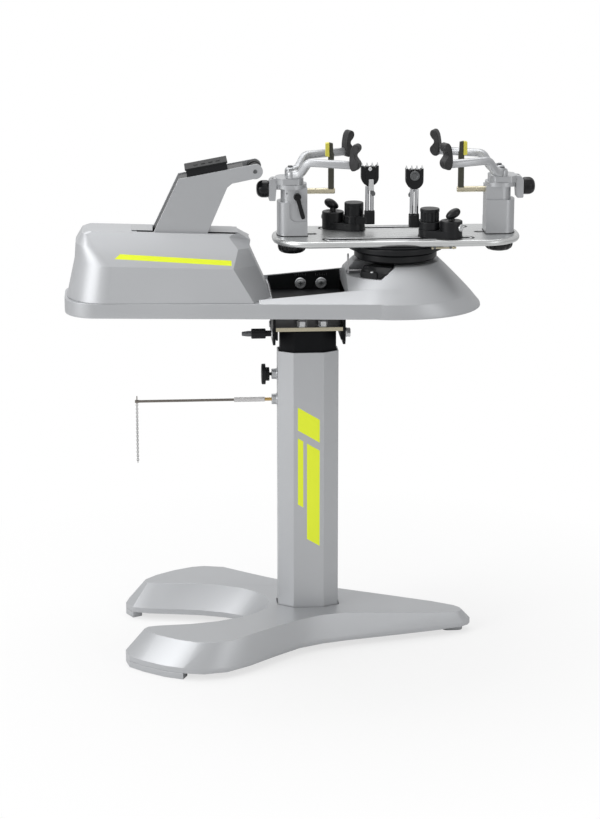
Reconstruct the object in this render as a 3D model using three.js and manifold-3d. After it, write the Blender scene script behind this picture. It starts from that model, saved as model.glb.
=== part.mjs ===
// Racket stringing machine on a stand: millimetres, +Z up, the operator stands at -Y.
import * as THREE from 'three';
import { mergeVertices } from 'three/addons/utils/BufferGeometryUtils.js';
import Module from 'manifold-3d';

const wasm = await Module();
wasm.setup();

// Fits shared by all pieces: gaps, how far a cutter runs past, and how far joined forms sink together
const seatGap = 0.3;
const runGap = 0.6;
const overrun = 20;
const bite = 1;

// Sides round a circle, by size
const hexagon = 6;
const coarse = 12;
const medium = 16;
const fine = 28;

// Paint and plating colours
const silverPaint = { color: 0xb4b8bc, roughness: 0.42, metalness: 0.35 };
const blackPlastic = { color: 0x15171a, roughness: 0.5, metalness: 0.0 };
const blackPaint = { color: 0x101113, roughness: 0.45, metalness: 0.1 };
const chromed = { color: 0xdadde0, roughness: 0.15, metalness: 1.0 };
const zincPlate = { color: 0xc2b184, roughness: 0.35, metalness: 0.9 };
const aluminium = { color: 0xd6d8d6, roughness: 0.35, metalness: 0.8 };
const bareSteel = { color: 0x9c9fa2, roughness: 0.35, metalness: 0.9 };
const darkMetal = { color: 0x55585b, roughness: 0.4, metalness: 0.8 };
const greenBoard = { color: 0x1f5a34, roughness: 0.6, metalness: 0.0 };

// Solids and booleans

function solid(geometry) {
  const bare = geometry.clone();
  bare.deleteAttribute('normal');
  bare.deleteAttribute('uv');
  const merged = mergeVertices(bare, 1e-4);
  return new wasm.Manifold(new wasm.Mesh({
    numProp: 3,
    vertProperties: new Float32Array(merged.attributes.position.array),
    triVerts: new Uint32Array(merged.index.array),
  }));
}

function shape(body) {
  const mesh = body.getMesh();
  const geometry = new THREE.BufferGeometry();
  geometry.setAttribute('position', new THREE.BufferAttribute(mesh.vertProperties, 3));
  geometry.setIndex(new THREE.BufferAttribute(mesh.triVerts, 1));
  return geometry;
}

function join(...bodies) {
  return bodies.reduce((whole, next) => whole.add(next));
}

function cut(body, ...tools) {
  return tools.reduce((left, tool) => left.subtract(tool), body);
}

function moved(geometry, x, y, z) {
  return geometry.translate(x, y, z);
}

// A block between two corners.
function block(x0, x1, y0, y1, z0, z1) {
  const box = new THREE.BoxGeometry(x1 - x0, y1 - y0, z1 - z0);
  return solid(moved(box, (x0 + x1) / 2, (y0 + y1) / 2, (z0 + z1) / 2));
}

function extruded(points, depth) {
  const outline = new THREE.Shape(points.map(([u, v]) => new THREE.Vector2(u, v)));
  return new THREE.ExtrudeGeometry(outline, { depth, bevelEnabled: false });
}

// Prisms of an outline: in plan (x, y), in side view (x, z) and in end view (y, z).
function prismZ(points, z0, z1) {
  return solid(moved(extruded(points, z1 - z0), 0, 0, z0));
}

function prismY(points, y0, y1) {
  return solid(moved(extruded(points, y1 - y0).rotateX(Math.PI / 2), 0, y1, 0));
}

function prismX(points, x0, x1) {
  const upright = points.map(([y, z]) => [-z, y]);
  return solid(moved(extruded(upright, x1 - x0).rotateY(Math.PI / 2), x0, 0, 0));
}

// A body of revolution about an axis along 'x', 'y' or 'z' through the point given.
function turned(profile, axis, at, sides = medium) {
  const points = profile.map(([radius, along]) => new THREE.Vector2(radius, along));
  const geometry = new THREE.LatheGeometry(points, sides);
  if (axis === 'z') geometry.rotateX(Math.PI / 2);
  if (axis === 'x') geometry.rotateZ(-Math.PI / 2);
  return solid(moved(geometry, at[0], at[1], at[2]));
}

// A round bar of one radius between two places on its axis.
function bar(axis, radius, from, to, u, v, sides = coarse) {
  const profile = [[0, from], [radius, from], [radius, to], [0, to]];
  const at = { x: [0, u, v], y: [u, 0, v], z: [u, v, 0] }[axis];
  return turned(profile, axis, at, sides);
}

// A closed skin through rings that all have the same number of points.
function loft(rings) {
  const count = rings[0].length;
  const positions = rings.flat().flatMap((p) => [p.x, p.y, p.z]);
  const indices = [];
  for (let r = 0; r + 1 < rings.length; r += 1) {
    for (let i = 0; i < count; i += 1) {
      const j = (i + 1) % count;
      const a = r * count;
      const b = a + count;
      indices.push(a + i, a + j, b + j, a + i, b + j, b + i);
    }
  }
  const flat = (ring) => ring.map((p) => new THREE.Vector2(p.x, p.y));
  const last = (rings.length - 1) * count;
  for (const [a, b, c] of THREE.ShapeUtils.triangulateShape(flat(rings[0]), [])) {
    indices.push(c, b, a);
  }
  for (const [a, b, c] of THREE.ShapeUtils.triangulateShape(flat(rings.at(-1)), [])) {
    indices.push(last + a, last + b, last + c);
  }
  const geometry = new THREE.BufferGeometry();
  geometry.setAttribute('position', new THREE.Float32BufferAttribute(positions, 3));
  geometry.setIndex(indices);
  return solid(geometry);
}

// An outline in plan as a ring at one height.
function ring(points, z) {
  return points.map(([x, y]) => new THREE.Vector3(x, y, z));
}

// Points of an arc, in degrees, both ends included.
function arc(cx, cy, radius, from, to, steps) {
  const points = [];
  for (let i = 0; i <= steps; i += 1) {
    const angle = THREE.MathUtils.degToRad(from + (to - from) * i / steps);
    points.push([cx + radius * Math.cos(angle), cy + radius * Math.sin(angle)]);
  }
  return points;
}

// A slot outline with round ends, its centres at two places.
function stadium(a, b, radius, steps) {
  const angle = THREE.MathUtils.radToDeg(Math.atan2(b[1] - a[1], b[0] - a[0]));
  return [
    ...arc(b[0], b[1], radius, angle - 90, angle + 90, steps),
    ...arc(a[0], a[1], radius, angle + 90, angle + 270, steps),
  ];
}

const machine = new THREE.Group();

function piece(name, body, look, parent = machine) {
  const material = new THREE.MeshStandardMaterial(look);
  const mesh = new THREE.Mesh(shape(body), material);
  mesh.name = name;
  parent.add(mesh);
  return mesh;
}

// Stand: base cover, frame and feet

const baseLength = 775;
const baseHalf = 275;
const baseTop = 76;
const coverWall = 4;
const lipTop = 26;
const lipBottom = 14;
const footBand = 24;
const baseArmDrop = 29;
const baseArmFrom = 0.077 * baseLength;
const baseArmTo = 0.445 * baseLength;

// Half outlines from the notch's root round one lobe to the arm's tip, as shares of the base's
// length and half width: the lip at the bottom, and the edge of the flat top.
const lipShares = [
  [-0.159, 0], [-0.169, 0.11], [-0.196, 0.19], [-0.239, 0.255], [-0.31, 0.32], [-0.387, 0.36],
  [-0.458, 0.39], [-0.506, 0.436], [-0.526, 0.545], [-0.516, 0.673], [-0.477, 0.782], [-0.419, 0.902],
  [-0.368, 0.967], [-0.31, 1], [-0.245, 0.964], [-0.181, 0.844], [-0.11, 0.665], [-0.034, 0.49],
  [0.035, 0.4], [0.101, 0.345], [0.234, 0.258], [0.37, 0.164], [0.444, 0.1], [0.467, 0.05], [0.474, 0],
];
const topShares = [
  [-0.111, 0], [-0.121, 0.145], [-0.152, 0.255], [-0.194, 0.349], [-0.265, 0.433], [-0.342, 0.48],
  [-0.432, 0.498], [-0.461, 0.516], [-0.472, 0.556], [-0.466, 0.607], [-0.434, 0.709], [-0.381, 0.818],
  [-0.328, 0.891], [-0.29, 0.909], [-0.232, 0.873], [-0.168, 0.727], [-0.11, 0.6], [-0.032, 0.444],
  [0.035, 0.345], [0.102, 0.291], [0.234, 0.218], [0.368, 0.14], [0.43, 0.08], [0.445, 0.04], [0.449, 0],
];

// The cover's top is level over the lobes and falls along the right arm.
function coverTopAt(x) {
  const along = THREE.MathUtils.clamp((x - baseArmFrom) / (baseArmTo - baseArmFrom), 0, 1);
  return baseTop - baseArmDrop * along;
}

function wholeOutline(shares) {
  const half = shares.map(([x, y]) => new THREE.Vector2(x * baseLength, y * baseHalf));
  const mirrored = half.slice(1, -1).reverse().map((p) => new THREE.Vector2(p.x, -p.y));
  return [...half, ...mirrored].reverse();
}

// Moves an outline inwards by the same distance all round.
function inset(points, distance) {
  return points.map((p, i) => {
    const before = points.at(i - 1);
    const after = points[(i + 1) % points.length];
    const side = after.clone().sub(before).normalize();
    return new THREE.Vector2(p.x - side.y * distance, p.y + side.x * distance);
  });
}

function ringAt(points, height) {
  return points.map((p) => new THREE.Vector3(p.x, p.y, typeof height === 'function' ? height(p.x) : height));
}

function coverSkin(thickness, bottom) {
  const lip = inset(wholeOutline(lipShares), thickness);
  const top = inset(wholeOutline(topShares), thickness);
  return loft([
    ringAt(lip, bottom),
    ringAt(lip, lipTop - thickness),
    ringAt(top, (x) => coverTopAt(x) - thickness),
  ]);
}

// Column: a flattened octagon, its front and back flats narrower than the tube.
const columnWidth = 133;
const columnDepth = 80;
const columnFlatShare = 0.5;
const columnWall = 3;
const columnTop = 659;
const columnFoot = 34;
const columnGroove = 2.5;
const innerWidth = 122.7;
const innerDepth = columnDepth - (columnWidth - innerWidth);
const innerWall = 4;
const innerFoot = 380;
const headPlateBottom = 712;
const stopHeight = 8;

function octagon(width, depth) {
  const flat = width * columnFlatShare / 2;
  const side = depth / 4;
  const half = [[flat, -depth / 2], [width / 2, -side], [width / 2, side], [flat, depth / 2]];
  return [...half, ...half.map(([x, y]) => [-x, -y])];
}

function octagonTube(width, depth, wall, z0, z1) {
  const hole = prismZ(octagon(width - 2 * wall, depth - 2 * wall), z0 - overrun, z1 + overrun);
  return cut(prismZ(octagon(width, depth), z0, z1), hole);
}

function buildBaseCover() {
  const grooveWidth = columnWidth + 2 * columnGroove;
  const grooveDepth = columnDepth + 2 * columnGroove;
  const opening = prismZ(octagon(grooveWidth, grooveDepth), 0, baseTop + overrun);
  return cut(coverSkin(0, lipBottom), coverSkin(coverWall, lipBottom - overrun), opening);
}

// The welded frame inside: a plate under the column and three box arms that reach the feet.
const frameArmWidth = 46;
const frameArmTop = 30;
const framePlateShare = 1.35;

function frameArm(toX, toY, width) {
  const length = Math.hypot(toX, toY);
  const angle = Math.atan2(toY, toX);
  const box = new THREE.BoxGeometry(length, width, frameArmTop - lipBottom);
  moved(box, length / 2, 0, (frameArmTop + lipBottom) / 2);
  return solid(box.rotateZ(angle));
}

const lobeFootX = -0.44 * baseLength;
const lobeFootY = 0.72 * baseHalf;
const waistPointX = -0.13 * baseLength;
const waistPointY = 0.34 * baseHalf;
const rightFootX = 0.435 * baseLength;

function frameLeg(side) {
  const toWaist = frameArm(waistPointX, side * waistPointY, frameArmWidth);
  const dx = lobeFootX - waistPointX;
  const dy = side * (lobeFootY - waistPointY);
  const toFoot = frameArm(dx, dy, frameArmWidth).translate([waistPointX, side * waistPointY, 0]);
  const knee = bar('z', frameArmWidth / 2, lipBottom, frameArmTop, waistPointX, side * waistPointY);
  return join(toWaist, toFoot, knee);
}

function buildBaseFrame() {
  const plateX = columnWidth * framePlateShare / 2;
  const plateY = columnDepth * framePlateShare / 2;
  const plate = block(-plateX, plateX, -plateY, plateY, lipBottom, columnFoot - seatGap);
  const rightArm = frameArm(rightFootX, 0, frameArmWidth / 2);
  return join(plate, rightArm, frameLeg(1), frameLeg(-1));
}

// A lobe's foot follows the outer rim of its lobe's tip, down to the floor.
const footFirst = 7;
const footLast = 12;

function buildLobeFoot(side) {
  const rim = lipShares.slice(footFirst, footLast + 1)
    .map(([x, y]) => new THREE.Vector2(x * baseLength, y * baseHalf));
  const inner = rim.map((p, i) => {
    const before = rim[Math.max(i - 1, 0)];
    const after = rim[Math.min(i + 1, rim.length - 1)];
    const along = after.clone().sub(before).normalize();
    return new THREE.Vector2(p.x + along.y * footBand, p.y - along.x * footBand);
  });
  const points = [...rim, ...inner.reverse()].map((p) => [p.x, side * p.y]);
  return prismZ(points, 0, lipBottom - seatGap);
}

function buildRightFoot() {
  const radius = frameArmWidth / 4;
  const outer = baseArmTo - radius / 2;
  return prismZ(stadium([outer - 2 * radius, 0], [outer, 0], radius, 6), 0, lipBottom - seatGap);
}

// The outer column has a ledge inside that the inner column stands on at its lowest.
const bossRadius = 11.5;
const bossOut = 79;
const lockHeight = 603;
const rodHeight = 546;
const lockStemRadius = 3.5;
const rodRadius = 2.9;
const threadRadius = 4;
const threadDepthX = columnWidth / 2 + seatGap;

function buildOuterColumn() {
  const tube = octagonTube(columnWidth, columnDepth, columnWall, columnFoot, columnTop);
  const ledge = octagonTube(columnWidth - columnWall, columnDepth - columnWall, 3 * columnWall,
    innerFoot - seatGap - stopHeight, innerFoot - seatGap);
  const wallX = -columnWidth / 2 + columnWall / 2;
  const lockBoss = bar('x', bossRadius, -bossOut, wallX, 0, lockHeight, medium);
  const rodBoss = bar('x', bossRadius, -bossOut, wallX, 0, rodHeight, medium);
  const lockHole = bar('x', lockStemRadius + seatGap, -bossOut - overrun, -innerWidth / 2, 0, lockHeight);
  const rodHole = bar('x', threadRadius + seatGap, -bossOut - overrun, -threadDepthX, 0, rodHeight);
  return cut(join(tube, ledge, lockBoss, rodBoss), lockHole, rodHole);
}

// The bush between the two columns, at the mouth of the outer one.
const bushLength = 45;
const bushDrop = 6;

function buildBush() {
  const width = columnWidth - 2 * columnWall - 2 * seatGap;
  const depth = columnDepth - 2 * columnWall - 2 * seatGap;
  const wall = (width - innerWidth) / 2 - seatGap;
  return octagonTube(width, depth, wall, columnTop - bushDrop - bushLength, columnTop - bushDrop);
}

function buildInnerColumn() {
  return octagonTube(innerWidth, innerDepth, innerWall, innerFoot, headPlateBottom - seatGap);
}

// Height lock: a knurled disc on a hub, with a screw through the boss to the inner column.
const lockDiscRadius = 22.75;
const lockHubRadius = 15;
const lockDiscOut = 101;
const lockDiscIn = 92.6;
const lockHubIn = 84;

function buildHeightKnob() {
  return turned([
    [0, -lockDiscOut], [lockDiscRadius - bite, -lockDiscOut], [lockDiscRadius, -lockDiscOut + bite],
    [lockDiscRadius, -lockDiscIn], [lockHubRadius, -lockDiscIn], [lockHubRadius, -lockHubIn],
    [lockStemRadius, -lockHubIn], [lockStemRadius, -innerWidth / 2 - seatGap],
    [0, -innerWidth / 2 - seatGap],
  ], 'x', [0, 0, lockHeight], fine);
}

// Reel rod: threaded into the lower boss, with a sleeve at its root and a chain at its tip.
const rodTipX = 378;
const threadEnd = 94;
const sleeveRadius = 5.25;
const sleeveOut = 161.6;
const sleeveIn = 94.4;
const chainX = 374;

function buildReelRod() {
  const rod = bar('x', rodRadius, -rodTipX, -threadEnd + seatGap, 0, rodHeight);
  const thread = bar('x', threadRadius, -threadEnd, -threadDepthX - seatGap, 0, rodHeight);
  const pinFoot = rodHeight - rodRadius - chainPinDrop;
  const pin = bar('z', chainPinRadius, pinFoot, rodHeight + chainPinRise, -chainX, 0);
  return join(rod, thread, pin);
}

function buildSleeve() {
  const inner = rodRadius + seatGap;
  const profile = [[inner, -sleeveOut], [sleeveRadius, -sleeveOut], [sleeveRadius, -sleeveIn],
    [inner, -sleeveIn], [inner, -sleeveOut]];
  return turned(profile, 'x', [0, 0, rodHeight]);
}

// The hanging chain: alternate oval links seen flat and edge on, fused where they touch.
const chainPinRadius = 1.2;
const chainPinDrop = 2;
const chainPinRise = 12;
const chainLinks = 16;
const linkPitch = 8.4;
const linkHalfWidth = 2.85;
const linkWire = 0.9;

function chainLink(top, across) {
  const length = linkPitch + 2 * linkWire;
  const half = length / 2 - linkHalfWidth;
  const points = stadium([0, -half], [0, half], linkHalfWidth, 2);
  const hole = stadium([0, -half], [0, half], linkHalfWidth - 1.6 * linkWire, 2);
  const build = across ? prismY : prismX;
  const ring = cut(build(points, -linkWire, linkWire), build(hole, -overrun, overrun));
  return ring.translate([-chainX, 0, top - length / 2]);
}

function buildChain() {
  const top = rodHeight - rodRadius - chainPinDrop - seatGap;
  const links = [];
  for (let i = 0; i < chainLinks; i += 1) {
    links.push(chainLink(top - i * linkPitch, i % 2 === 0));
  }
  return join(...links);
}

piece('base_cover', buildBaseCover(), silverPaint);
piece('base_frame', buildBaseFrame(), blackPaint);
piece('foot_front_left', buildLobeFoot(-1), silverPaint);
piece('foot_rear_left', buildLobeFoot(1), silverPaint);
piece('foot_right', buildRightFoot(), silverPaint);
piece('outer_column', buildOuterColumn(), silverPaint);
piece('height_lock_knob', buildHeightKnob(), blackPlastic);
piece('reel_rod', buildReelRod(), bareSteel);
piece('reel_rod_sleeve', buildSleeve(), bareSteel);
piece('reel_chain', buildChain(), darkMetal);
piece('inner_column', buildInnerColumn(), blackPaint);
piece('column_bush', buildBush(), blackPlastic);

// Head of the column: a folded plate on the inner column, and the bracket that tilts on it

const headPlateTop = 720;
const headPlateWidth = 145;
const headPlateHalfDepth = 60;
const cheekThickness = 4.5;
const cheekBottom = 692;
const pivotY = 44;
const pivotZ = 705;
const clampY = -pivotY;
const pivotRadius = 5;
const clampRadius = 5;
const tiltRange = 8;
const bracketLeg = 5.5;
const bracketWeb = 6;
const bodyBottom = 757;
const bracketLegBottom = 680;
const bracketInner = headPlateWidth / 2 + runGap;

// Four bolts hang the body on the bracket
const hangBoltLeft = -14;
const hangBoltRight = 32;
const hangBoltY = 43;
const hangBoltAcross = 9;
const hangBoltHeight = 13;

// The plate is a channel turned down over the inner column's head.
function buildHeadPlate() {
  const half = headPlateWidth / 2;
  const plate = block(-half, half, -headPlateHalfDepth, headPlateHalfDepth, headPlateBottom, headPlateTop);
  const cheekLeft = block(-half, -half + cheekThickness, -headPlateHalfDepth, headPlateHalfDepth,
    cheekBottom, headPlateBottom + bite);
  const cheekRight = block(half - cheekThickness, half, -headPlateHalfDepth, headPlateHalfDepth,
    cheekBottom, headPlateBottom + bite);
  const pivotHole = bar('x', pivotRadius + seatGap, -half - overrun, half + overrun, pivotY, pivotZ);
  const clampHole = bar('x', clampRadius + seatGap, -half - overrun, half + overrun, clampY, pivotZ);
  return cut(join(plate, cheekLeft, cheekRight), pivotHole, clampHole);
}

// Each leg has a round hole on the pivot and a slot round it for the clamp.
const slotSteps = 4;
const slotSpare = 4;

function clampSlot() {
  const reach = pivotY - clampY;
  const half = clampRadius + runGap;
  const swing = tiltRange + slotSpare;
  const outer = arc(pivotY, pivotZ, reach + half, 180 - swing, 180 + swing, slotSteps);
  const inner = arc(pivotY, pivotZ, reach - half, 180 + swing, 180 - swing, slotSteps);
  return [...outer, ...inner];
}

function buildTiltBracket() {
  const outer = bracketInner + bracketLeg;
  const back = headPlateHalfDepth;
  const top = bodyBottom - seatGap;
  const legOutline = [
    [-back, top], [-back, bracketLegBottom + bracketLeg],
    [-back + bracketLeg, bracketLegBottom], [back - bracketLeg, bracketLegBottom],
    [back, bracketLegBottom + bracketLeg], [back, top],
  ];
  const left = prismX(legOutline, -outer, -bracketInner);
  const right = prismX(legOutline, bracketInner, outer);
  const web = block(-outer + bite, outer - bite, -back, back, top - bracketWeb, top);
  const slot = prismX(clampSlot(), -outer - overrun, outer + overrun);
  const pivotHole = bar('x', pivotRadius + seatGap, -outer - overrun, outer + overrun, pivotY, pivotZ);
  const bolts = [];
  for (const x of [hangBoltLeft, hangBoltRight]) {
    for (const y of [-hangBoltY, hangBoltY]) {
      const under = bodyBottom - bracketWeb;
      bolts.push(bar('z', hangBoltAcross, under - hangBoltHeight, under, x, y, hexagon));
    }
  }
  return join(cut(join(left, right, web), slot, pivotHole), ...bolts);
}

function buildPivotPin() {
  const outer = bracketInner + bracketLeg + seatGap;
  const head = bar('x', pivotRadius * 1.7, outer, outer + pivotRadius, pivotY, pivotZ, hexagon);
  const clip = bar('x', pivotRadius * 1.5, -outer - pivotRadius / 2, -outer, pivotY, pivotZ, coarse);
  const shank = bar('x', pivotRadius, -outer - bite, outer + bite, pivotY, pivotZ);
  return join(head, clip, shank);
}

// Tilt clamp: a grip with a stud on the left, a hexagon bolt on the right, each with a washer.
const washerRadius = 10.5;
const washerThickness = 3;
const gripNeckRadius = 6.5;
const gripRadius = 11;
const gripTipRadius = 6.3;
const gripNeck = 12;
const gripLength = 31;
const gripTipLength = 21;
const boltHeadLength = 8;

function buildTiltHandle() {
  const face = bracketInner + bracketLeg + seatGap;
  const neck = face + washerThickness;
  const gripStart = neck + gripNeck;
  const gripEnd = gripStart + gripLength;
  const tip = gripEnd + gripTipLength;
  const stud = headPlateWidth / 2 - cheekThickness + seatGap;
  return turned([
    [0, -tip], [gripTipRadius * 0.7, -tip], [gripTipRadius, -gripEnd - gripTipLength / 3],
    [gripTipRadius, -gripEnd], [gripRadius, -gripEnd], [gripRadius, -gripStart],
    [gripNeckRadius, -gripStart], [gripNeckRadius, -neck], [washerRadius, -neck],
    [washerRadius, -face], [clampRadius, -face], [clampRadius, -stud], [0, -stud],
  ], 'x', [0, clampY, pivotZ], medium);
}

function buildTiltBolt() {
  const face = bracketInner + bracketLeg + seatGap;
  const stud = headPlateWidth / 2 - cheekThickness + seatGap;
  const washer = bar('x', washerRadius, face, face + washerThickness, clampY, pivotZ, coarse);
  const head = bar('x', washerRadius, face + washerThickness - seatGap,
    face + washerThickness + boltHeadLength,
    clampY, pivotZ, hexagon);
  const shank = bar('x', clampRadius, stud, face + seatGap, clampY, pivotZ, coarse);
  return join(washer, head, shank);
}

piece('head_plate', buildHeadPlate(), zincPlate);
piece('tilt_bracket', buildTiltBracket(), blackPaint);
piece('tilt_pivot_pin', buildPivotPin(), bareSteel);
piece('tilt_clamp_handle', buildTiltHandle(), blackPlastic);
piece('tilt_clamp_bolt', buildTiltBolt(), bareSteel);

// Body: lower shell with the hub's cone, tension housing and tray

const hubX = 191;
const bodyLeft = 525;
const bodyEndHalf = 103;
const bodyEndRadius = 70;
const bodySeam = 790;
const shellFloor = 763;
const shellWall = 8;
const trayLeft = -81;
const trayRight = 80;
const trayHalf = 118;
const gearWall = 132;
const hubTop = 858;
const sideLeanShare = 0.6;
const endSteps = 6;
const noseSteps = 20;
const coneSides = 36;

// The cone round the hub swells a little on its way down: radius and height.
const coneTopRadius = 94;
const coneMiddleRadius = 139;
const coneMiddle = 814;
const coneSeamRadius = 166;
const coneFootRadius = 185;

// Plan of the lower shell: a round left end, sides that spread, and the hub's circle.
function bodyPlan(noseRadius) {
  const spread = Math.asin((noseRadius - bodyEndRadius) / (hubX + bodyLeft - bodyEndRadius));
  const lean = THREE.MathUtils.radToDeg(spread) * sideLeanShare;
  const cornerX = -bodyLeft + bodyEndRadius;
  const cornerY = bodyEndHalf - bodyEndRadius;
  return [
    ...arc(cornerX, cornerY, bodyEndRadius, 90 + lean, 180, endSteps),
    ...arc(cornerX, -cornerY, bodyEndRadius, 180, 270 - lean, endSteps),
    ...arc(hubX, 0, noseRadius, -90 - lean * 2, 90 + lean * 2, noseSteps),
  ];
}

function planRing(radius, wall, z) {
  const points = bodyPlan(radius).map(([x, y]) => new THREE.Vector2(x, y));
  return inset(points, wall).map((p) => new THREE.Vector3(p.x, p.y, z));
}

function bandSolid(wall, z0, z1) {
  return loft([planRing(coneFootRadius, wall, z0), planRing(coneSeamRadius, wall, z1)]);
}

function buildCone() {
  const foot = bodyBottom + bite;
  return turned([
    [0, foot], [coneFootRadius, foot], [coneSeamRadius, bodySeam], [coneMiddleRadius, coneMiddle],
    [coneTopRadius, hubTop], [0, hubTop],
  ], 'z', [hubX, 0, 0], coneSides);
}

// The rails beside the tray rise from the housing to the cone.
const railLeft = -108;
const railRight = 80;
const railRun = 60;
const railRise = 12;
const railLead = 8;
const railLeftTop = 798;
const railRightTop = 812;

function buildRails() {
  const side = prismY([
    [railLeft, bodySeam - bite], [railRight + railRun, bodySeam - bite],
    [railRight + railRun, railRightTop + railRise], [railRight, railRightTop],
    [railLeft + railLead, railLeftTop],
  ], -trayHalf - overrun, trayHalf + overrun);
  const plan = prismZ(bodyPlan(coneSeamRadius), bodySeam - bite - seatGap, hubTop);
  const between = block(-bodyLeft, hubX, -trayHalf, trayHalf, bodySeam, hubTop);
  return cut(side.intersect(plan), between);
}

// The open recess in the cone's front left, where the brake sits.
const postRadius = 40;
const recessInner = postRadius - 5;
const recessOuter = 128;
const recessBottom = 832;
const recessFromAngle = 195;
const recessToAngle = 262;
const recessSteps = 6;

function brakeRecess() {
  const outer = arc(hubX, 0, recessOuter, recessFromAngle, recessToAngle, recessSteps);
  const inner = arc(hubX, 0, recessInner, recessToAngle, recessFromAngle, recessSteps);
  return prismZ([...outer, ...inner], recessBottom, hubTop + overrun);
}

function buildBodyShell() {
  const whole = join(bandSolid(0, bodyBottom, bodySeam), buildCone(), buildRails());
  const top = hubTop + overrun;
  const tray = block(trayLeft, trayRight, -trayHalf, trayHalf, shellFloor, top);
  const right = block(-gearWall, bodyLeft, -bodyLeft, bodyLeft, 0, hubTop + top);
  const gearPocket = cut(bandSolid(shellWall, shellFloor, bodySeam + overrun), right);
  const postBore = bar('z', postRadius + runGap, shellFloor, top, hubX, 0, fine);
  return cut(whole, tray, gearPocket, postBore, brakeRecess());
}

piece('body_shell', buildBodyShell(), silverPaint);

// Tension housing: a faceted cover over the pull mechanism, with a long slot for the arm

const housingWall = 4;
const housingTop = 930;
const housingTopLeft = -471;
const housingTopRight = -172;
const housingTopHalf = 43;
const housingTopRound = 26;
const housingRim = 914;
const housingRimLeft = -487;
const housingRimRight = -131;
const housingRimHalf = 55;
const housingRimRound = 34;
const housingShoulder = 866;
const housingShoulderLeft = -500;
const housingShoulderRight = -112;
const housingShoulderHalf = 95;
const housingShoulderRound = 58;
const housingFootLeft = -520;
const housingFootRight = -83;
const housingFootHalf = 106;
const housingFootRound = 60;
const housingSpread = 20;
const cornerCut = 30;
const cornerShare = 0.55;
const armHalf = 37;
const armSlotLeft = -368;
const armSlotRight = -157;
const armSlotHalf = armHalf + runGap;
const armSlotBottom = 876;
const roundSteps = 5;

// One level of the housing, from the chamfered right end round to the rounded left end.
function housingLevel(z, left, right, half, round, spread) {
  const rightCorner = [[right, 0], [right, half * cornerShare], [right - cornerCut, half + spread]];
  const leftCorner = arc(left + round, half - round, round, 90, 170, roundSteps);
  const points = [...rightCorner, ...leftCorner, [left, 0]];
  const mirrored = points.slice(1, -1).reverse().map(([x, y]) => [x, -y]);
  return ring([...points, ...mirrored], z);
}

function housingSkin(wall, bottom) {
  return loft([
    housingLevel(bottom, housingFootLeft + wall, housingFootRight - wall, housingFootHalf - wall,
      housingFootRound, housingSpread),
    housingLevel(housingShoulder, housingShoulderLeft + wall, housingShoulderRight - wall,
      housingShoulderHalf - wall, housingShoulderRound, 0),
    housingLevel(housingRim - wall / 2, housingRimLeft + wall, housingRimRight - wall,
      housingRimHalf - wall / 2, housingRimRound, 0),
    housingLevel(housingTop - wall, housingTopLeft + wall, housingTopRight - wall,
      housingTopHalf - wall / 2, housingTopRound, 0),
  ]);
}

// Power inlet in the back wall: a body with a hollow front and three pins.
const inletX = -440;
const inletZ = 818;
const inletHalfX = 24;
const inletHalfZ = 14;
const inletDepth = 22;
const inletWall = 4.5;
const inletPin = 1;
const inletPinHalf = 3;
const inletPinPitch = 10;

function buildHousing() {
  const slot = block(armSlotLeft, armSlotRight, -armSlotHalf, armSlotHalf,
    armSlotBottom, housingTop + overrun);
  const halfX = inletHalfX + seatGap;
  const halfZ = inletHalfZ + seatGap;
  const inletHole = block(inletX - halfX, inletX + halfX, housingShoulderHalf - overrun,
    housingFootHalf + overrun, inletZ - halfZ, inletZ + halfZ);
  const inner = housingSkin(housingWall, bodySeam - overrun);
  return cut(housingSkin(0, bodySeam + seatGap), inner, slot, inletHole);
}

function buildInlet() {
  const face = housingFootHalf + bite;
  const back = face - inletDepth;
  const body = block(inletX - inletHalfX, inletX + inletHalfX, back, face,
    inletZ - inletHalfZ, inletZ + inletHalfZ);
  const pocketX = inletHalfX - inletWall;
  const pocketZ = inletHalfZ - inletWall;
  const pocket = block(inletX - pocketX, inletX + pocketX, back + inletWall, face + overrun,
    inletZ - pocketZ, inletZ + pocketZ);
  const places = [inletX - inletPinPitch, inletX, inletX + inletPinPitch];
  const pins = places.map((x) => block(x - inletPin, x + inletPin,
    back + inletWall - bite, face - inletWall, inletZ - inletPinHalf, inletZ + inletPinHalf));
  return join(cut(body, pocket), ...pins);
}

// Tray: a black liner whose rear wall carries two cross-recess discs
const linerWall = 3;
const linerDrop = 3;
const discRadius = 12.5;
const discThickness = 3;
const discZ = 780;
const discLeft = -8;
const discRight = 38;
const crossHalf = 5;
const crossArm = 1;
const crossDepth = 1.8;

function buildTrayLiner() {
  const outer = block(trayLeft + seatGap, trayRight - seatGap, -trayHalf + seatGap, trayHalf - seatGap,
    shellFloor + seatGap, railLeftTop - linerDrop);
  const inner = block(trayLeft + linerWall, trayRight + overrun, -trayHalf + linerWall, trayHalf - linerWall,
    shellFloor + linerWall, hubTop);
  return cut(outer, inner);
}

function buildTrayDisc(x) {
  const back = trayHalf - linerWall - seatGap;
  const face = back - discThickness;
  const disc = bar('y', discRadius, face, back, x, discZ, medium);
  const cross = (halfX, halfZ) => block(x - halfX, x + halfX, face - bite, face + crossDepth,
    discZ - halfZ, discZ + halfZ);
  return cut(disc, cross(crossHalf, crossArm), cross(crossArm, crossHalf));
}

// Pull mechanism inside: a motor turns the lead screw, and the carriage runs on two rods
const screwZ = 800;
const screwRadius = 7;
const guideRadius = 7;
const guideY = 30;
const railFrom = -462;
const railTo = -140;
const motorRadius = 24;
const motorLeft = -503;
const motorFootX = -480;
const motorFootThick = 6;
const motorFootHalf = 44;
const mechanismFloor = shellFloor + seatGap;

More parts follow.
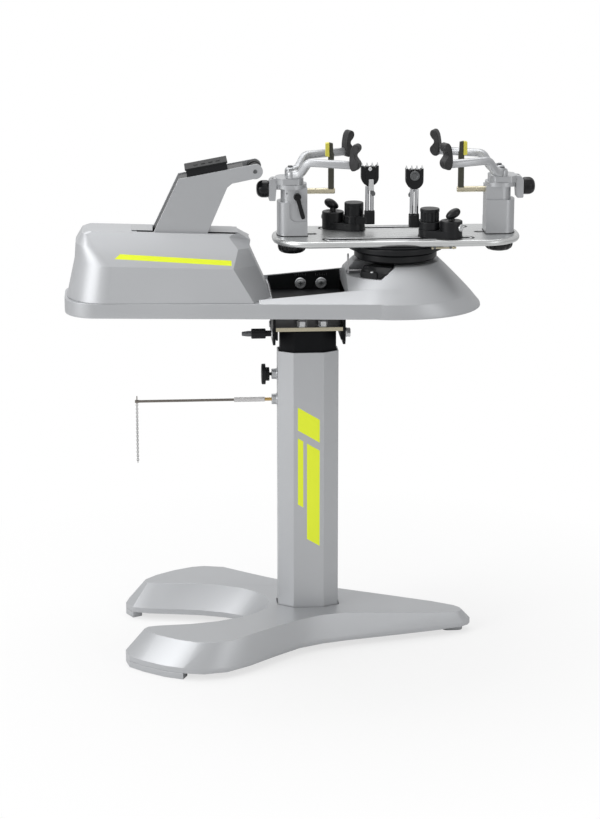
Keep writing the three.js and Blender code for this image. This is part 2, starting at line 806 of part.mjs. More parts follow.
function buildMotor() {
  const can = bar('x', motorRadius, motorLeft, motorFootX, 0, screwZ, fine);
  const foot = block(motorFootX, motorFootX + motorFootThick, -motorFootHalf, motorFootHalf,
    mechanismFloor, screwZ + motorRadius);
  const bore = bar('x', screwRadius + runGap, motorFootX - 2 * motorFootThick, railFrom, 0, screwZ);
  return cut(join(can, foot), bore);
}

// The screw is a core with a ring for every turn of thread that shows.
const threadPitch = 28;
const threadDepth = 1.5;
const screwTail = 24;
const screwEnd = 4;
const screwSides = 8;

function buildScrew() {
  const root = screwRadius - threadDepth;
  const profile = [[0, railFrom - screwTail], [root, railFrom - screwTail]];
  for (let x = railFrom + threadPitch; x < railTo - threadPitch; x += threadPitch) {
    profile.push([root, x - threadPitch / 4], [screwRadius, x], [root, x + threadPitch / 4]);
  }
  profile.push([root, railTo - screwEnd], [0, railTo - screwEnd]);
  return turned(profile, 'x', [0, 0, screwZ], screwSides);
}

// Each guide rod stands on a foot at either end.
const rodFootLength = 10;
const rodFootHalf = 9;

function buildGuideRod(side) {
  const y = side * guideY;
  const rod = bar('x', guideRadius, railFrom, railTo, y, screwZ);
  const feet = [railFrom, railTo - rodFootLength].map((x) => block(x, x + rodFootLength, y - rodFootHalf,
    y + rodFootHalf, mechanismFloor, screwZ + rodFootHalf));
  return join(rod, ...feet);
}

// Control board on four posts, with its three largest parts.
const boardLeft = -450;
const boardRight = -330;
const boardFront = 50;
const boardRear = 88;
const boardThick = 1.6;
const boardPostHeight = 12;
const boardPostRadius = 3;
const boardPostIn = 7;
const transformer = { x: -430, y: 60, width: 20, depth: 14, height: 8 };
const capacitor = { x: -400, y: 58, width: 14, depth: 22, height: 14 };
const processor = { x: -372, y: 62, width: 26, depth: 16, height: 5 };

function buildBoard() {
  const under = shellFloor + boardPostHeight;
  const top = under + boardThick;
  const board = block(boardLeft, boardRight, boardFront, boardRear, under, top);
  const posts = [];
  for (const x of [boardLeft + boardPostIn, boardRight - boardPostIn]) {
    for (const y of [boardFront + boardPostIn, boardRear - boardPostIn]) {
      posts.push(bar('z', boardPostRadius, mechanismFloor, under + bite, x, y, hexagon));
    }
  }
  const chips = [transformer, capacitor, processor].map((chip) => block(chip.x, chip.x + chip.width,
    chip.y, chip.y + chip.depth, top - bite, top + chip.height));
  return join(board, ...posts, ...chips);
}

// Tension head: carriage on the rods, cranked arm up through the slot, gripper in its nose
const carriageFrom = -342;
const carriageTo = -226;
const carriageHalf = 43;
const carriageDeep = 16;
const carriageRise = 40;
const carriageTop = screwZ + carriageRise;

function buildCarriage() {
  const lower = block(carriageFrom, carriageTo, -carriageHalf, carriageHalf,
    screwZ - carriageDeep, screwZ + carriageDeep);
  const upper = block(carriageFrom, carriageTo, -guideY, guideY,
    screwZ + carriageDeep - bite, carriageTop);
  const from = carriageFrom - overrun;
  const to = carriageTo + overrun;
  const bores = [-guideY, guideY].map((y) => bar('x', guideRadius + seatGap, from, to, y, screwZ));
  const nut = bar('x', screwRadius + runGap, from, to, 0, screwZ);
  return cut(join(lower, upper), ...bores, nut);
}

// Side view of the arm: a leaning post that turns forward into a boom with a round nose.
const armPlate = 3;
const armBackX = -375;
const armFrontX = -254;
const armHeelX = -277;
const noseX = -114.5;
const noseRadius = 16.6;
const noseAngle = 78;
const chinX = -163.5;
const chinDrop = 25.5;
const throatX = -174;
const throatDrop = 34;
const mouthLeft = 4;
const armBaseIn = 2;
const armBaseTop = 7;
const noseSideSteps = 8;
const armFoot = carriageTop + seatGap;
const armRise = 203.7;
const boomRise = 14;
const armHeelZ = armFoot + armRise;
const noseZ = armHeelZ + boomRise;

function armOutline(shrink) {
  return [
    [armBackX + shrink, armFoot], [armHeelX + shrink, armHeelZ - shrink],
    ...arc(noseX, noseZ, noseRadius - shrink, noseAngle, noseAngle - 180, noseSideSteps),
    [chinX, noseZ - chinDrop + shrink], [throatX - shrink / 2, noseZ - throatDrop],
    [armFrontX - shrink, armFoot],
  ];
}

function buildArm() {
  const body = prismY(armOutline(0), -armHalf, armHalf);
  const innerHalf = armHalf - armPlate;
  const hollow = prismY(armOutline(armPlate), -innerHalf, innerHalf);
  const mouthReach = 4 * noseRadius;
  const mouth = block(noseX - noseRadius - mouthLeft, noseX + mouthReach, -innerHalf, innerHalf,
    noseZ - mouthReach, noseZ + mouthReach);
  const shaft = bar('y', gripperShaft + seatGap, -innerHalf - bite, innerHalf + bite, noseX, noseZ);
  const base = block(carriageFrom + armBaseIn, carriageTo - armBaseIn, -armHalf, armHalf,
    armFoot, carriageTop + armBaseTop);
  return cut(join(cut(body, hollow, mouth), base.intersect(body)), shaft);
}

// String gripper: two flanged drums with a waist between them and a slot for the string.
const gripperShaft = 5;
const gripperRadius = 15;
const gripperWaist = 11;
const gripperFlange = 26;
const stringSlot = 1;
const stringSlotHalf = 4;

function buildGripper() {
  const side = armHalf - armPlate - 2 * seatGap;
  const inner = side - gripperFlange;
  const front = bar('y', gripperRadius, -side, -inner, noseX, noseZ, fine);
  const back = bar('y', gripperRadius, inner, side, noseX, noseZ, fine);
  const middle = bar('y', gripperWaist, -inner - bite, inner + bite, noseX, noseZ, fine);
  const groove = block(noseX - stringSlot, noseX + stringSlot, -stringSlotHalf, stringSlotHalf,
    noseZ, noseZ + gripperRadius + bite);
  return cut(join(front, back, middle), groove);
}

// The control panel lies on the boom's upper edge and leans as it does.
const panelThick = 15;
const panelLength = 88;
const panelSet = 18;
const panelIn = 2;
const panelLid = 2.5;
const keyFirst = 18;
const keyPitch = 16;
const keyLength = 9;
const keyHalf = 12;
const keyRise = 4;
const keyCount = 4;

function buildPanel() {
  const noseTurn = THREE.MathUtils.degToRad(noseAngle);
  const rise = noseZ + noseRadius * Math.sin(noseTurn) - armHeelZ;
  const run = noseX + noseRadius * Math.cos(noseTurn) - armHeelX;
  const lean = Math.atan2(rise, run);
  const box = block(0, panelLength, -armHalf + panelIn, armHalf - panelIn, 0, panelThick);
  const lid = block(-panelIn, panelLength + panelIn, -armHalf, armHalf,
    panelThick - bite, panelThick + panelLid);
  const keys = [];
  for (let i = 0; i < keyCount; i += 1) {
    const x = keyFirst + i * keyPitch;
    keys.push(block(x, x + keyLength, -keyHalf, keyHalf, panelThick, panelThick + keyRise));
  }
  return join(box, lid, ...keys).rotate([0, -THREE.MathUtils.radToDeg(lean), 0])
    .translate([armHeelX + panelSet, 0, armHeelZ + panelSet * Math.tan(lean) + seatGap]);
}

piece('tension_housing', buildHousing(), silverPaint);
piece('power_inlet', buildInlet(), blackPlastic);
piece('tray_liner', buildTrayLiner(), blackPlastic);
piece('tray_disc_left', buildTrayDisc(discLeft), chromed);
piece('tray_disc_right', buildTrayDisc(discRight), chromed);
piece('drive_motor', buildMotor(), blackPaint);
piece('lead_screw', buildScrew(), bareSteel);
piece('guide_rod_front', buildGuideRod(-1), bareSteel);
piece('guide_rod_rear', buildGuideRod(1), bareSteel);
piece('control_board', buildBoard(), greenBoard);
piece('tension_carriage', buildCarriage(), aluminium);
piece('tension_arm', buildArm(), silverPaint);
piece('control_panel', buildPanel(), blackPlastic);
piece('string_gripper', buildGripper(), blackPlastic);

// Turntable: bearing post with its brake, rotating disc, and the slotted aluminium plate

const discLowRadius = 90;
const discTopRadius = 103.5;
const discLow = 862;
const discStep = 884;
const discGrooveDepth = 2.5;
const discGrooveHigh = 2;
const discGrooveLow = 5;
const discChamfer = 4;
const shaftRadius = 18;
const shaftAbove = 4;
const plateTop = 914;
const plateThick = 16;
const plateBottom = plateTop - plateThick;
const brakeWidth = 34;
const brakeThick = 20;
const brakeInset = 26;
const brakeRise = 2.5;
const brakeAngle = 232.5;
const leverPinY = -39;
const leverPinZ = 841;
const leverPinEnd = 132;
const leverPinRadius = 3;
const leverHalf = 7;
const leverThick = 3;
const leverTop = 878;
const leverNotch = 6;
const leverStand = 1.5;

function buildPost() {
  const flange = bar('z', postRadius, mechanismFloor, hubTop + bite, hubX, 0, fine);
  const shaft = bar('z', shaftRadius, hubTop, discStep + shaftAbove, hubX, 0, fine);
  const length = recessOuter - brakeInset;
  const arm = moved(new THREE.BoxGeometry(length, brakeWidth, brakeThick), length / 2, 0, 0);
  arm.rotateZ(THREE.MathUtils.degToRad(brakeAngle));
  const brake = solid(moved(arm, hubX, 0, recessBottom + brakeThick / 2 + brakeRise));
  const bearing = block(leverPinEnd + seatGap, hubX - postRadius / 2, leverPinY - leverHalf,
    leverPinY + leverHalf, recessBottom + seatGap, recessBottom + brakeThick - leverNotch / 2);
  return join(flange, shaft, brake, bearing);
}

// Section of the disc: a band with a groove round it and a wider ring on top.
function buildTurntableDisc() {
  const bore = shaftRadius + runGap;
  const top = plateBottom - seatGap;
  return turned([
    [bore, discLow], [discLowRadius - discChamfer, discLow], [discLowRadius, discLow + discChamfer],
    [discLowRadius, discStep - discGrooveLow - bite],
    [discLowRadius - discGrooveDepth, discStep - discGrooveLow],
    [discLowRadius - discGrooveDepth, discStep - discGrooveHigh - bite],
    [discLowRadius, discStep - discGrooveHigh], [discTopRadius, discStep], [discTopRadius, top - discChamfer],
    [discTopRadius - discChamfer, top], [bore, top], [bore, discLow],
  ], 'z', [hubX, 0, 0], fine);
}

// Plan of the plate: straight sides and generous round ends.
const plateLeft = -81.5;
const plateHalf = 102;
const plateRound = 92;
const plateBevel = 5;
const plateEdge = 3;
const plateSteps = 7;
const slotY = 62;
const slotHalfWidth = 8;
const slotFrom = 37;
const slotEndSteps = 5;
const grooveWide = 10;
const grooveDeep = 2.5;
const railWide = 7;
const railDeep = 3.5;
const studHoleRadius = 9;
const studSpare = 2;
const towerReach = 225;
const towerTravel = 45;

function platePlan(shrink, z) {
  const left = plateLeft + shrink;
  const right = 2 * hubX - plateLeft - shrink;
  const half = plateHalf - shrink;
  const round = plateRound - shrink;
  return ring([
    ...arc(left + round, half - round, round, 90, 180, plateSteps),
    ...arc(left + round, -half + round, round, 180, 270, plateSteps),
    ...arc(right - round, -half + round, round, 270, 360, plateSteps),
    ...arc(right - round, half - round, round, 0, 90, plateSteps),
  ], z);
}

function slotPrism(side, half, z0, z1) {
  const to = 2 * hubX - slotFrom;
  const ends = [[slotFrom + half, side * slotY], [to - half, side * slotY]];
  return prismZ(stadium(...ends, half, slotEndSteps), z0, z1);
}

// Each clamp slot has a raised rail along both edges, in a groove.
function buildPlate() {
  const below = plateBottom - overrun;
  const above = plateTop + overrun;
  const blank = loft([
    platePlan(plateBevel, plateBottom), platePlan(0, plateBottom + plateBevel),
    platePlan(0, plateTop - plateEdge), platePlan(plateEdge, plateTop),
  ]);
  const cuts = [];
  const rails = [];
  for (const side of [-1, 1]) {
    const rail = slotPrism(side, slotHalfWidth + railWide, plateTop - railDeep, plateTop);
    cuts.push(slotPrism(side, slotHalfWidth, below, above));
    cuts.push(slotPrism(side, slotHalfWidth + grooveWide, plateTop - grooveDeep, above));
    rails.push(cut(rail, slotPrism(side, slotHalfWidth, below, above)));
    const inner = [hubX + side * (towerReach - towerTravel), 0];
    const outer = [hubX + side * (towerReach + studSpare), 0];
    cuts.push(prismZ(stadium(inner, outer, studHoleRadius, slotEndSteps), below, above));
  }
  return join(cut(blank, ...cuts), ...rails);
}

// Brake lever: a thin plate on its own pin at the recess's left edge.
function buildBrakeLever() {
  const x = hubX - discTopRadius - leverStand;
  const low = leverPinZ - leverNotch;
  const shoulder = leverTop - leverNotch;
  const plate = prismX([
    [leverPinY - leverHalf, low], [leverPinY + leverHalf, low], [leverPinY + leverHalf, shoulder],
    [leverPinY, leverTop], [leverPinY - leverHalf, shoulder],
  ], x - leverThick, x);
  return join(plate, bar('x', leverPinRadius, x - bite, leverPinEnd, leverPinY, leverPinZ));
}

piece('turntable_post', buildPost(), blackPaint);
piece('turntable_disc', buildTurntableDisc(), blackPaint);
piece('turntable_plate', buildPlate(), aluminium);
piece('brake_lever', buildBrakeLever(), bareSteel);

// Towers: built once for the left end, and turned half round the turntable's axis for the right.
// Everything of a tower is drawn about its own middle, with the racket towards +X.

const towerHalfX = 32;
const towerHalfY = 28;
const towerRound = 22;
const towerFoot = plateTop + seatGap;
const towerRise = 103.7;
const towerTop = towerFoot + towerRise;
const towerUpper = 30;
const towerStep = towerTop - towerUpper;
const towerStepIn = 8;
const towerRoundSteps = 5;
const flangeRadius = 34;
const flangeX = -2;
const flangeThick = 8;
const flangeTop = towerTop + flangeThick;
const flangeSides = 24;

function towerPlan(shrink) {
  const outer = -towerHalfX + shrink;
  const half = towerHalfY - shrink / 2;
  return [
    ...arc(outer + towerRound, half - towerRound, towerRound, 90, 180, towerRoundSteps),
    ...arc(outer + towerRound, -half + towerRound, towerRound, 180, 270, towerRoundSteps),
    [towerHalfX, -half], [towerHalfX, half],
  ];
}

// The front has a sunk panel with a curved lower corner, where the cam lever turns on its boss.
const panelLeft = -7;
const panelRise = 31.7;
const panelLow = towerFoot + panelRise;
const panelCorner = 14;
const panelSink = 3;
const panelTopDrop = 4;
const panelCornerSteps = 4;
const leverX = 10;
const leverDrop = 17;
const leverZ = towerTop - leverDrop;
const leverRadius = 7.5;
const leverPin = 3;
const leverBoss = 2;
const sightX = -12;
const sightDrop = 11;
const sightZ = towerTop - sightDrop;
const sightRadius = 2.5;
const sightDepth = 9;
const supportDrop = 10;
const supportZ = towerTop - supportDrop;
const supportRadius = 6.5;
const supportBoreEnd = -20;
const supportInnerEnd = 2;
const carrierBottom = flangeTop + seatGap;
const screwDrop = 12.3;
const adjustScrewZ = carrierBottom - screwDrop;
const adjustRadius = 2.6;
const adjustThread = 4;
const studRadius = 6;
const studDepth = 24;
const studBoreSpare = 6;

function buildTower() {
  const lower = prismZ(towerPlan(0), towerFoot, towerStep);
  const upper = prismZ(towerPlan(towerStepIn), towerStep - bite, towerTop);
  const flange = bar('z', flangeRadius, towerTop - bite, flangeTop, flangeX, 0, flangeSides);
  const panelTop = towerTop - panelTopDrop;
  const face = -towerHalfY;
  const panel = prismY([
    [panelLeft, panelTop],
    ...arc(panelLeft + panelCorner, panelLow + panelCorner, panelCorner, 180, 270, panelCornerSteps),
    [towerHalfX + overrun, panelLow], [towerHalfX + overrun, panelTop],
  ], face - overrun, face + panelSink);
  const boss = bar('y', leverRadius + leverBoss, face, face + panelSink + bite, leverX, leverZ, medium);
  const sight = bar('y', sightRadius, face - overrun, face + sightDepth, sightX, sightZ);
  const supportBore = bar('x', supportRadius + seatGap, supportBoreEnd, towerHalfX + overrun,
    0, supportZ, medium);
  const screwBore = bar('x', adjustRadius + seatGap, -towerHalfX - overrun,
    -towerHalfX + towerStepIn + adjustThread + seatGap, 0, adjustScrewZ);
  const pinBore = bar('y', leverPin + seatGap, face - overrun, face + sightDepth, leverX, leverZ);
  const studBore = bar('z', studRadius + seatGap, towerFoot - bite,
    plateTop + studDepth + studBoreSpare, 0, 0);
  const body = join(cut(join(lower, upper, flange), panel), boss);
  return cut(body, sight, supportBore, screwBore, pinBore, studBore);
}

// Lock knob under the plate: its stud comes up through the plate into the tower.
const lockKnobRadius = 31;
const lockKnobHeight = 24;
const lockKnobBottom = plateBottom - lockKnobHeight;
const lockKnobEdge = 5;
const lockKnobCrown = 12;
const scoopCount = 8;
const scoopRadius = 4;
const scoopOut = 1.6;

function buildTowerKnob() {
  const top = plateBottom - seatGap;
  const edge = lockKnobRadius - lockKnobEdge;
  const body = turned([
    [0, lockKnobBottom], [lockKnobRadius - lockKnobCrown, lockKnobBottom],
    [lockKnobRadius - lockKnobEdge / 2, lockKnobBottom + lockKnobEdge],
    [lockKnobRadius, lockKnobBottom + lockKnobCrown], [lockKnobRadius, top - lockKnobEdge],
    [edge, top], [0, top],
  ], 'z', [0, 0, 0], flangeSides);
  const scoops = [];
  for (let i = 0; i < scoopCount; i += 1) {
    const angle = 2 * Math.PI * i / scoopCount;
    const out = lockKnobRadius + scoopOut;
    scoops.push(bar('z', scoopRadius, lockKnobBottom - bite, top + bite,
      out * Math.cos(angle), out * Math.sin(angle), hexagon));
  }
  return join(cut(body, ...scoops), bar('z', studRadius, top - bite, plateTop + studDepth, 0, 0));
}

// Support hook: a round rod out of the tower, an upright bar, and the pad that holds the frame.
const hookReach = 93;
const hookEnd = 2;
const hookBarWidth = 13;
const hookBarHalf = 5;
const hookRise = 105;
const hookTop = supportZ + hookRise;
const hookPadHeight = 30;
const hookPadLow = hookTop - hookPadHeight;
const hookPadThick = 6;
const hookPadHalf = 8;

function buildHook() {
  const from = hookReach - hookBarWidth - hookEnd;
  const rod = bar('x', supportRadius, supportInnerEnd, hookReach, 0, supportZ, medium);
  const upright = block(from, from + hookBarWidth, -hookBarHalf, hookBarHalf, supportZ, hookTop);
  const pad = block(from - hookPadThick, from + bite, -hookPadHalf, hookPadHalf, hookPadLow, hookTop - bite);
  return join(rod, upright, pad);
}

// Arm carrier: a block on the flange that the adjusting screw moves in and out, with both arms' pivots.
const carrierThick = 13.7;
const carrierTop = carrierBottom + carrierThick;
const carrierHalf = 31;
const carrierRear = -34;
const carrierRearHalf = 20;
const carrierShoulder = -22;
const carrierNose = 24;
const carrierNoseHalf = 18;
const carrierCheek = 14;
const bracketOut = -50;
const bracketThick = 14;
const bracketHalf = 16;
const bracketStep = 2;
const legDrop = 24;

function buildCarrier() {
  const plan = [
    [carrierRear, -carrierRearHalf], [carrierShoulder, -carrierHalf], [carrierCheek, -carrierHalf],
    [carrierNose, -carrierNoseHalf], [carrierNose, carrierNoseHalf], [carrierCheek, carrierHalf],
    [carrierShoulder, carrierHalf], [carrierRear, carrierRearHalf],
  ];
  const body = prismZ(plan, carrierBottom, carrierTop);
  const tail = block(bracketOut, carrierRear + bracketThick, -bracketHalf, bracketHalf,
    carrierBottom, carrierTop - bracketStep);
  const leg = block(bracketOut, bracketOut + bracketThick, -bracketHalf, bracketHalf,
    adjustScrewZ - legDrop, carrierBottom + bite);
  const bore = bar('x', adjustRadius + seatGap, bracketOut - bite, bracketOut + bracketThick + bite,
    0, adjustScrewZ);
  return cut(join(body, tail, leg), bore);
}

// Adjusting knob: a fluted dome, with the screw that runs in the tower's thread.
const adjustLength = 26;
const adjustKnobRadius = 19;
const adjustSides = 18;
const fluteCount = 6;
const fluteRadius = 3;
const fluteOut = 1.5;

function buildAdjustKnob() {
  const face = bracketOut - seatGap;
  const end = face - adjustLength;
  const screw = bar('x', adjustRadius, face - bite,
    -towerHalfX + towerStepIn + adjustThread, 0, adjustScrewZ);
  const knob = turned([
    [0, end], [adjustKnobRadius * 0.47, end], [adjustKnobRadius * 0.79, end + adjustLength * 0.12],
    [adjustKnobRadius * 0.95, end + adjustLength * 0.35], [adjustKnobRadius, end + adjustLength * 0.58],
    [adjustKnobRadius, face - adjustLength * 0.15], [adjustKnobRadius * 0.84, face], [0, face],
  ], 'x', [0, 0, adjustScrewZ], adjustSides);
  const flutes = [];
  for (let i = 0; i < fluteCount; i += 1) {
    const angle = 2 * Math.PI * i / fluteCount;
    const out = adjustKnobRadius + fluteOut;
    flutes.push(bar('x', fluteRadius, end - bite, face + bite, out * Math.cos(angle),
      adjustScrewZ + out * Math.sin(angle), hexagon));
  }
  return join(cut(knob, ...flutes), screw);
}

// A fork arm: a bent bar that climbs from its pivot, then runs level and outwards to its pad.
const armClimb = 38;
const armHeight = carrierTop + armClimb;
const armRadius = 9;
const armRootX = -2;
const armRootY = 22;
const armRootRise = 7;
const armKneeX = 28;
const armKneeY = 46;
const armBend = 9;
const armTipX = 126;
const armTipY = 92;
const armHubRadius = 12;
const armHubHeight = 16;
const armSides = 8;
const armSteps = 14;

function sweptBar(points, radius, sides, steps) {
  const path = new THREE.CatmullRomCurve3(points, false, 'centripetal');
  const circle = arc(0, 0, radius, 0, 360 - 360 / sides, sides - 1);
  const section = new THREE.Shape(circle.map(([u, v]) => new THREE.Vector2(u, v)));
  return solid(new THREE.ExtrudeGeometry(section, { steps, extrudePath: path, bevelEnabled: false }));
}

function buildForkArm(side) {
  const low = carrierTop + seatGap;
  const hub = bar('z', armHubRadius, low, low + armHubHeight, armRootX, side * armRootY, medium);
  const root = new THREE.Vector3(armRootX, side * armRootY, low + armRootRise + seatGap);
  const knee = new THREE.Vector3(armKneeX, side * armKneeY, armHeight);
  const tip = new THREE.Vector3(armTipX, side * armTipY, armHeight);
  const before = knee.clone().lerp(root, armBend / knee.distanceTo(root));
  const after = knee.clone().lerp(tip, armBend / knee.distanceTo(tip));
  const middle = knee.clone().lerp(tip, 0.5);
  const tube = sweptBar([root, before, after, middle, tip], armRadius, armSides, armSteps);
  return join(hub, tube, buildPad(side));
}

// The saddle pad: a round upper lobe and a fuller lower one, with the frame's notch between them.
const padLift = 18;
const padMiddle = armHeight + padLift;
const padHeight = 60;
const padHalfWidth = 12.5;
const padUpper = 10;
const padLower = 13;
const padBack = 9;
const padNotch = 3;
const padForward = 2;
const padTurn = 25;
const padSteps = 5;
const upperLobeStart = -60;
const upperLobeEnd = 160;
const lowerLobeStart = 200;
const lowerLobeEnd = 410;

function buildPad(side) {
  const upperZ = padMiddle + padHeight / 2 - padUpper;
  const lowerZ = padMiddle - padHeight / 2 + padLower;
  const profile = [
    ...arc(padNotch, upperZ, padUpper, upperLobeStart, upperLobeEnd, padSteps), [-padBack, padMiddle],
    ...arc(0, lowerZ, padLower, lowerLobeStart, lowerLobeEnd, padSteps), [padNotch, upperZ - padUpper - padNotch],
  ];
  return prismY(profile, -padHalfWidth, padHalfWidth).rotate([0, 0, side * padTurn])
    .translate([armTipX + padForward, side * armTipY, 0]);
}

// Cam lever on the front: a round hub on its pin and a tapered handle that hangs down.
const camHub = 9;
const camThick = 6;
const camReach = 48;
const camLean = 9;
const camWide = 9;
const camNarrow = 8;

function buildCamLever() {
  const front = -towerHalfY - seatGap;
  const pivot = bar('y', leverPin, front - bite, front + sightDepth - bite, leverX, leverZ);
  const hub = bar('y', leverRadius, front - camHub, front, leverX, leverZ, medium);
  const left = leverX - camWide / 2;
  const handle = prismY([
    [left, leverZ], [left + camWide, leverZ],
    [left + camLean + camNarrow + camWide / 2, leverZ - camReach + bite],
    [left + camLean + camWide / 2, leverZ - camReach],
  ], front - camHub + bite, front - camHub + bite + camThick);
  return join(pivot, hub, handle);
}

const towerPieces = [
  ['tower', buildTower, silverPaint], ['tower_lock_knob', buildTowerKnob, blackPlastic],
  ['support_hook', buildHook, zincPlate], ['arm_carrier', buildCarrier, silverPaint],
  ['adjust_knob', buildAdjustKnob, blackPlastic], ['arm_front', () => buildForkArm(-1), silverPaint],
  ['arm_rear', () => buildForkArm(1), silverPaint], ['cam_lever', buildCamLever, blackPlastic],
];

for (const [label, turn] of [['left', 0], ['right', Math.PI]]) {
  const tower = new THREE.Group();
  tower.position.set(hubX - towerReach * Math.cos(turn), 0, 0);
  tower.rotation.z = turn;
  machine.add(tower);
  for (const [name, build, look] of towerPieces) piece(`${label}_${name}`, build(), look, tower);
}

// String clamps: built once for the left clamp, and turned half round for the right.
// Everything of a clamp is drawn about its slider's middle, with the racket towards +X and -Y.

const clampX = 60 - hubX;
const rightClampIn = 18;
const sliderRadius = 24;
const sliderThick = 16;
const sliderSides = 20;
const sliderSteps = 8;
const keyRecess = 3;
const keyBottom = plateBottom + keyRecess;
const endScrewRadius = 8;
const endScrewDepth = 6;
const endScrewRise = 19;
const endScrewOut = 4;
const clampFoot = plateTop + seatGap;
const sliderRise = 37.7;
const sliderTop = clampFoot + sliderRise;
const drumFoot = clampFoot + sliderThick + seatGap;
const drumHeight = 44.4;
const drumTop = drumFoot + drumHeight;
const drumRadius = 21;
const drumCollarRadius = 23;
const drumCollarHeight = 16.4;
const drumCollarTop = drumFoot + drumCollarHeight;
const swivelX = 44;
const swivelY = -21;
const swivelPinRadius = 9;
const swivelPinDrop = 6;

function buildSlider() {
  const top = clampFoot + sliderThick;
  const base = prismZ(stadium([0, 0], [swivelX, swivelY], sliderRadius, sliderSteps), clampFoot, top);
  const lobe = bar('z', sliderRadius, top - bite, sliderTop, 0, 0, sliderSides);
  const key = bar('z', slotHalfWidth - seatGap, keyBottom, clampFoot + bite, 0, 0);
  const screw = bar('x', endScrewRadius, -sliderRadius - endScrewOut, -sliderRadius + endScrewDepth,
    0, clampFoot + endScrewRise, medium);
  const pin = bar('z', swivelPinRadius, top - bite, drumTop - swivelPinDrop, swivelX, swivelY, medium);
  return join(base, lobe, key, screw, pin);
}

// Oval lever knob on the slider: a short hub and a leaning egg-shaped grip.
const eggHub = 7;
const eggHubHeight = 7;
const eggLong = 17;
const eggWide = 12;
const eggHigh = 10.5;
const eggX = -4;
const eggY = 4;
const eggRise = 15;
const eggLean = 0.5;
const eggAround = 12;
const eggUp = 8;

function buildLockLever() {
  const top = sliderTop + seatGap;
  const egg = new THREE.SphereGeometry(1, eggAround, eggUp).scale(eggLong, eggWide, eggHigh);
  egg.rotateY(eggLean).translate(eggX, eggY, top + eggRise);
  return join(bar('z', eggHub, top, top + eggHubHeight, 0, 0, medium), solid(egg));
}

// Swivel arm: a stepped drum on the slider's pin, and a block beside it that holds two posts.
const postX = 76;
const postY = -40;
const postHeight = 83.4;
const postTop = drumFoot + postHeight;
const clampPostRadius = 4;
const postPitch = 10.4;
const postBlockHalf = 11;
const postBlockHeight = 27.4;
const postBlockTop = drumFoot + postBlockHeight;

function buildSwivelArm() {
  const collar = bar('z', drumCollarRadius, drumFoot, drumCollarTop, swivelX, swivelY, sliderSides);
  const drum = bar('z', drumRadius, drumFoot, drumTop, swivelX, swivelY, sliderSides);
  const bore = bar('z', swivelPinRadius + seatGap, drumFoot - bite, drumTop - swivelPinDrop + seatGap,
    swivelX, swivelY, medium);
  const link = block(swivelX, postX, postY - postBlockHalf + bite, postY + postBlockHalf + bite,
    drumFoot, drumFoot + sliderThick);
  const holder = block(postX - postBlockHalf, postX + postBlockHalf, postY - postBlockHalf,
    postY + postBlockHalf, drumFoot, postBlockTop);
  const posts = [-1, 1].map((s) => bar('z', clampPostRadius, drumFoot + sliderThick, postTop,
    postX + s * postPitch / 2, postY));
  return join(cut(join(collar, drum, link, holder), bore), ...posts);
}

// Clamp head: two jaws with pointed teeth on top, over a round foot on the posts.
const headHeight = 44;
const headTop = postTop + headHeight;
const headHalf = 19;
const headThickHalf = 9;
const headSteps = 10;
const toothHeight = 8;
const toothCount = 4;
const toothGap = 0.5;
const jawGap = 1.6;
const jawSplitRise = 30;
const headScrewRadius = 11;
const headScrewDrop = 20;
const headScrewOut = 12;

function buildHead() {
  const bottom = postTop + seatGap;
  const foot = arc(0, bottom + headHalf, headHalf, 180, 360, headSteps);
  const outline = [...foot, [headHalf, headTop], [-headHalf, headTop]];
  const body = prismY(outline, -headThickHalf, headThickHalf);
  const pitch = 2 * headHalf / toothCount;
  const teeth = [];
  for (let i = 0; i < toothCount; i += 1) {
    const left = -headHalf + i * pitch;
    teeth.push(prismY([
      [left + toothGap, headTop - bite], [left + pitch - toothGap, headTop - bite],
      [left + pitch / 2, headTop + toothHeight],
    ], -headThickHalf, headThickHalf));
  }
  const split = block(-headHalf - bite, headHalf + bite, -jawGap / 2, jawGap / 2,
    bottom + jawSplitRise, headTop + overrun);
  const screw = bar('y', headScrewRadius, -headScrewOut, -headThickHalf + bite,
    0, headTop - headScrewDrop, medium);
  return join(cut(join(body, ...teeth), split), screw).translate([postX, postY, 0]);
}

const clampPieces = [
  ['clamp_slider', buildSlider, blackPaint], ['clamp_lock_lever', buildLockLever, blackPlastic],
  ['clamp_swivel_arm', buildSwivelArm, blackPaint], ['clamp_head', buildHead, blackPaint],
];

for (const [label, turn] of [['left', 0], ['right', Math.PI]]) {
  const side = Math.cos(turn);
  const clamp = new THREE.Group();
  const inward = turn ? rightClampIn : 0;
  clamp.position.set(hubX + side * (clampX + inward), side * slotY, 0);
  clamp.rotation.z = turn;
  machine.add(clamp);
  for (const [name, build, look] of clampPieces) piece(`${label}_${name}`, build(), look, clamp);
}

// The machine stands so that its middle is over the origin.
const rightReach = hubX + towerReach - bracketOut + seatGap + adjustLength;
machine.position.x = (bodyLeft - rightReach) / 2;

export default machine;
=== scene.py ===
# %% [markdown]
# # A racket stringing machine on its stand
# The machine holds a racket by its frame on a turntable while a tension head pulls each string.
# The CAD model already has every moving piece in its place, so this lesson loads it as a fixed frame
# and then dresses it: finer covers, rounded edges, paint, plating and moulded plastic.

import math

import bmesh
import bpy
import numpy as np
from mathutils import Matrix, Vector


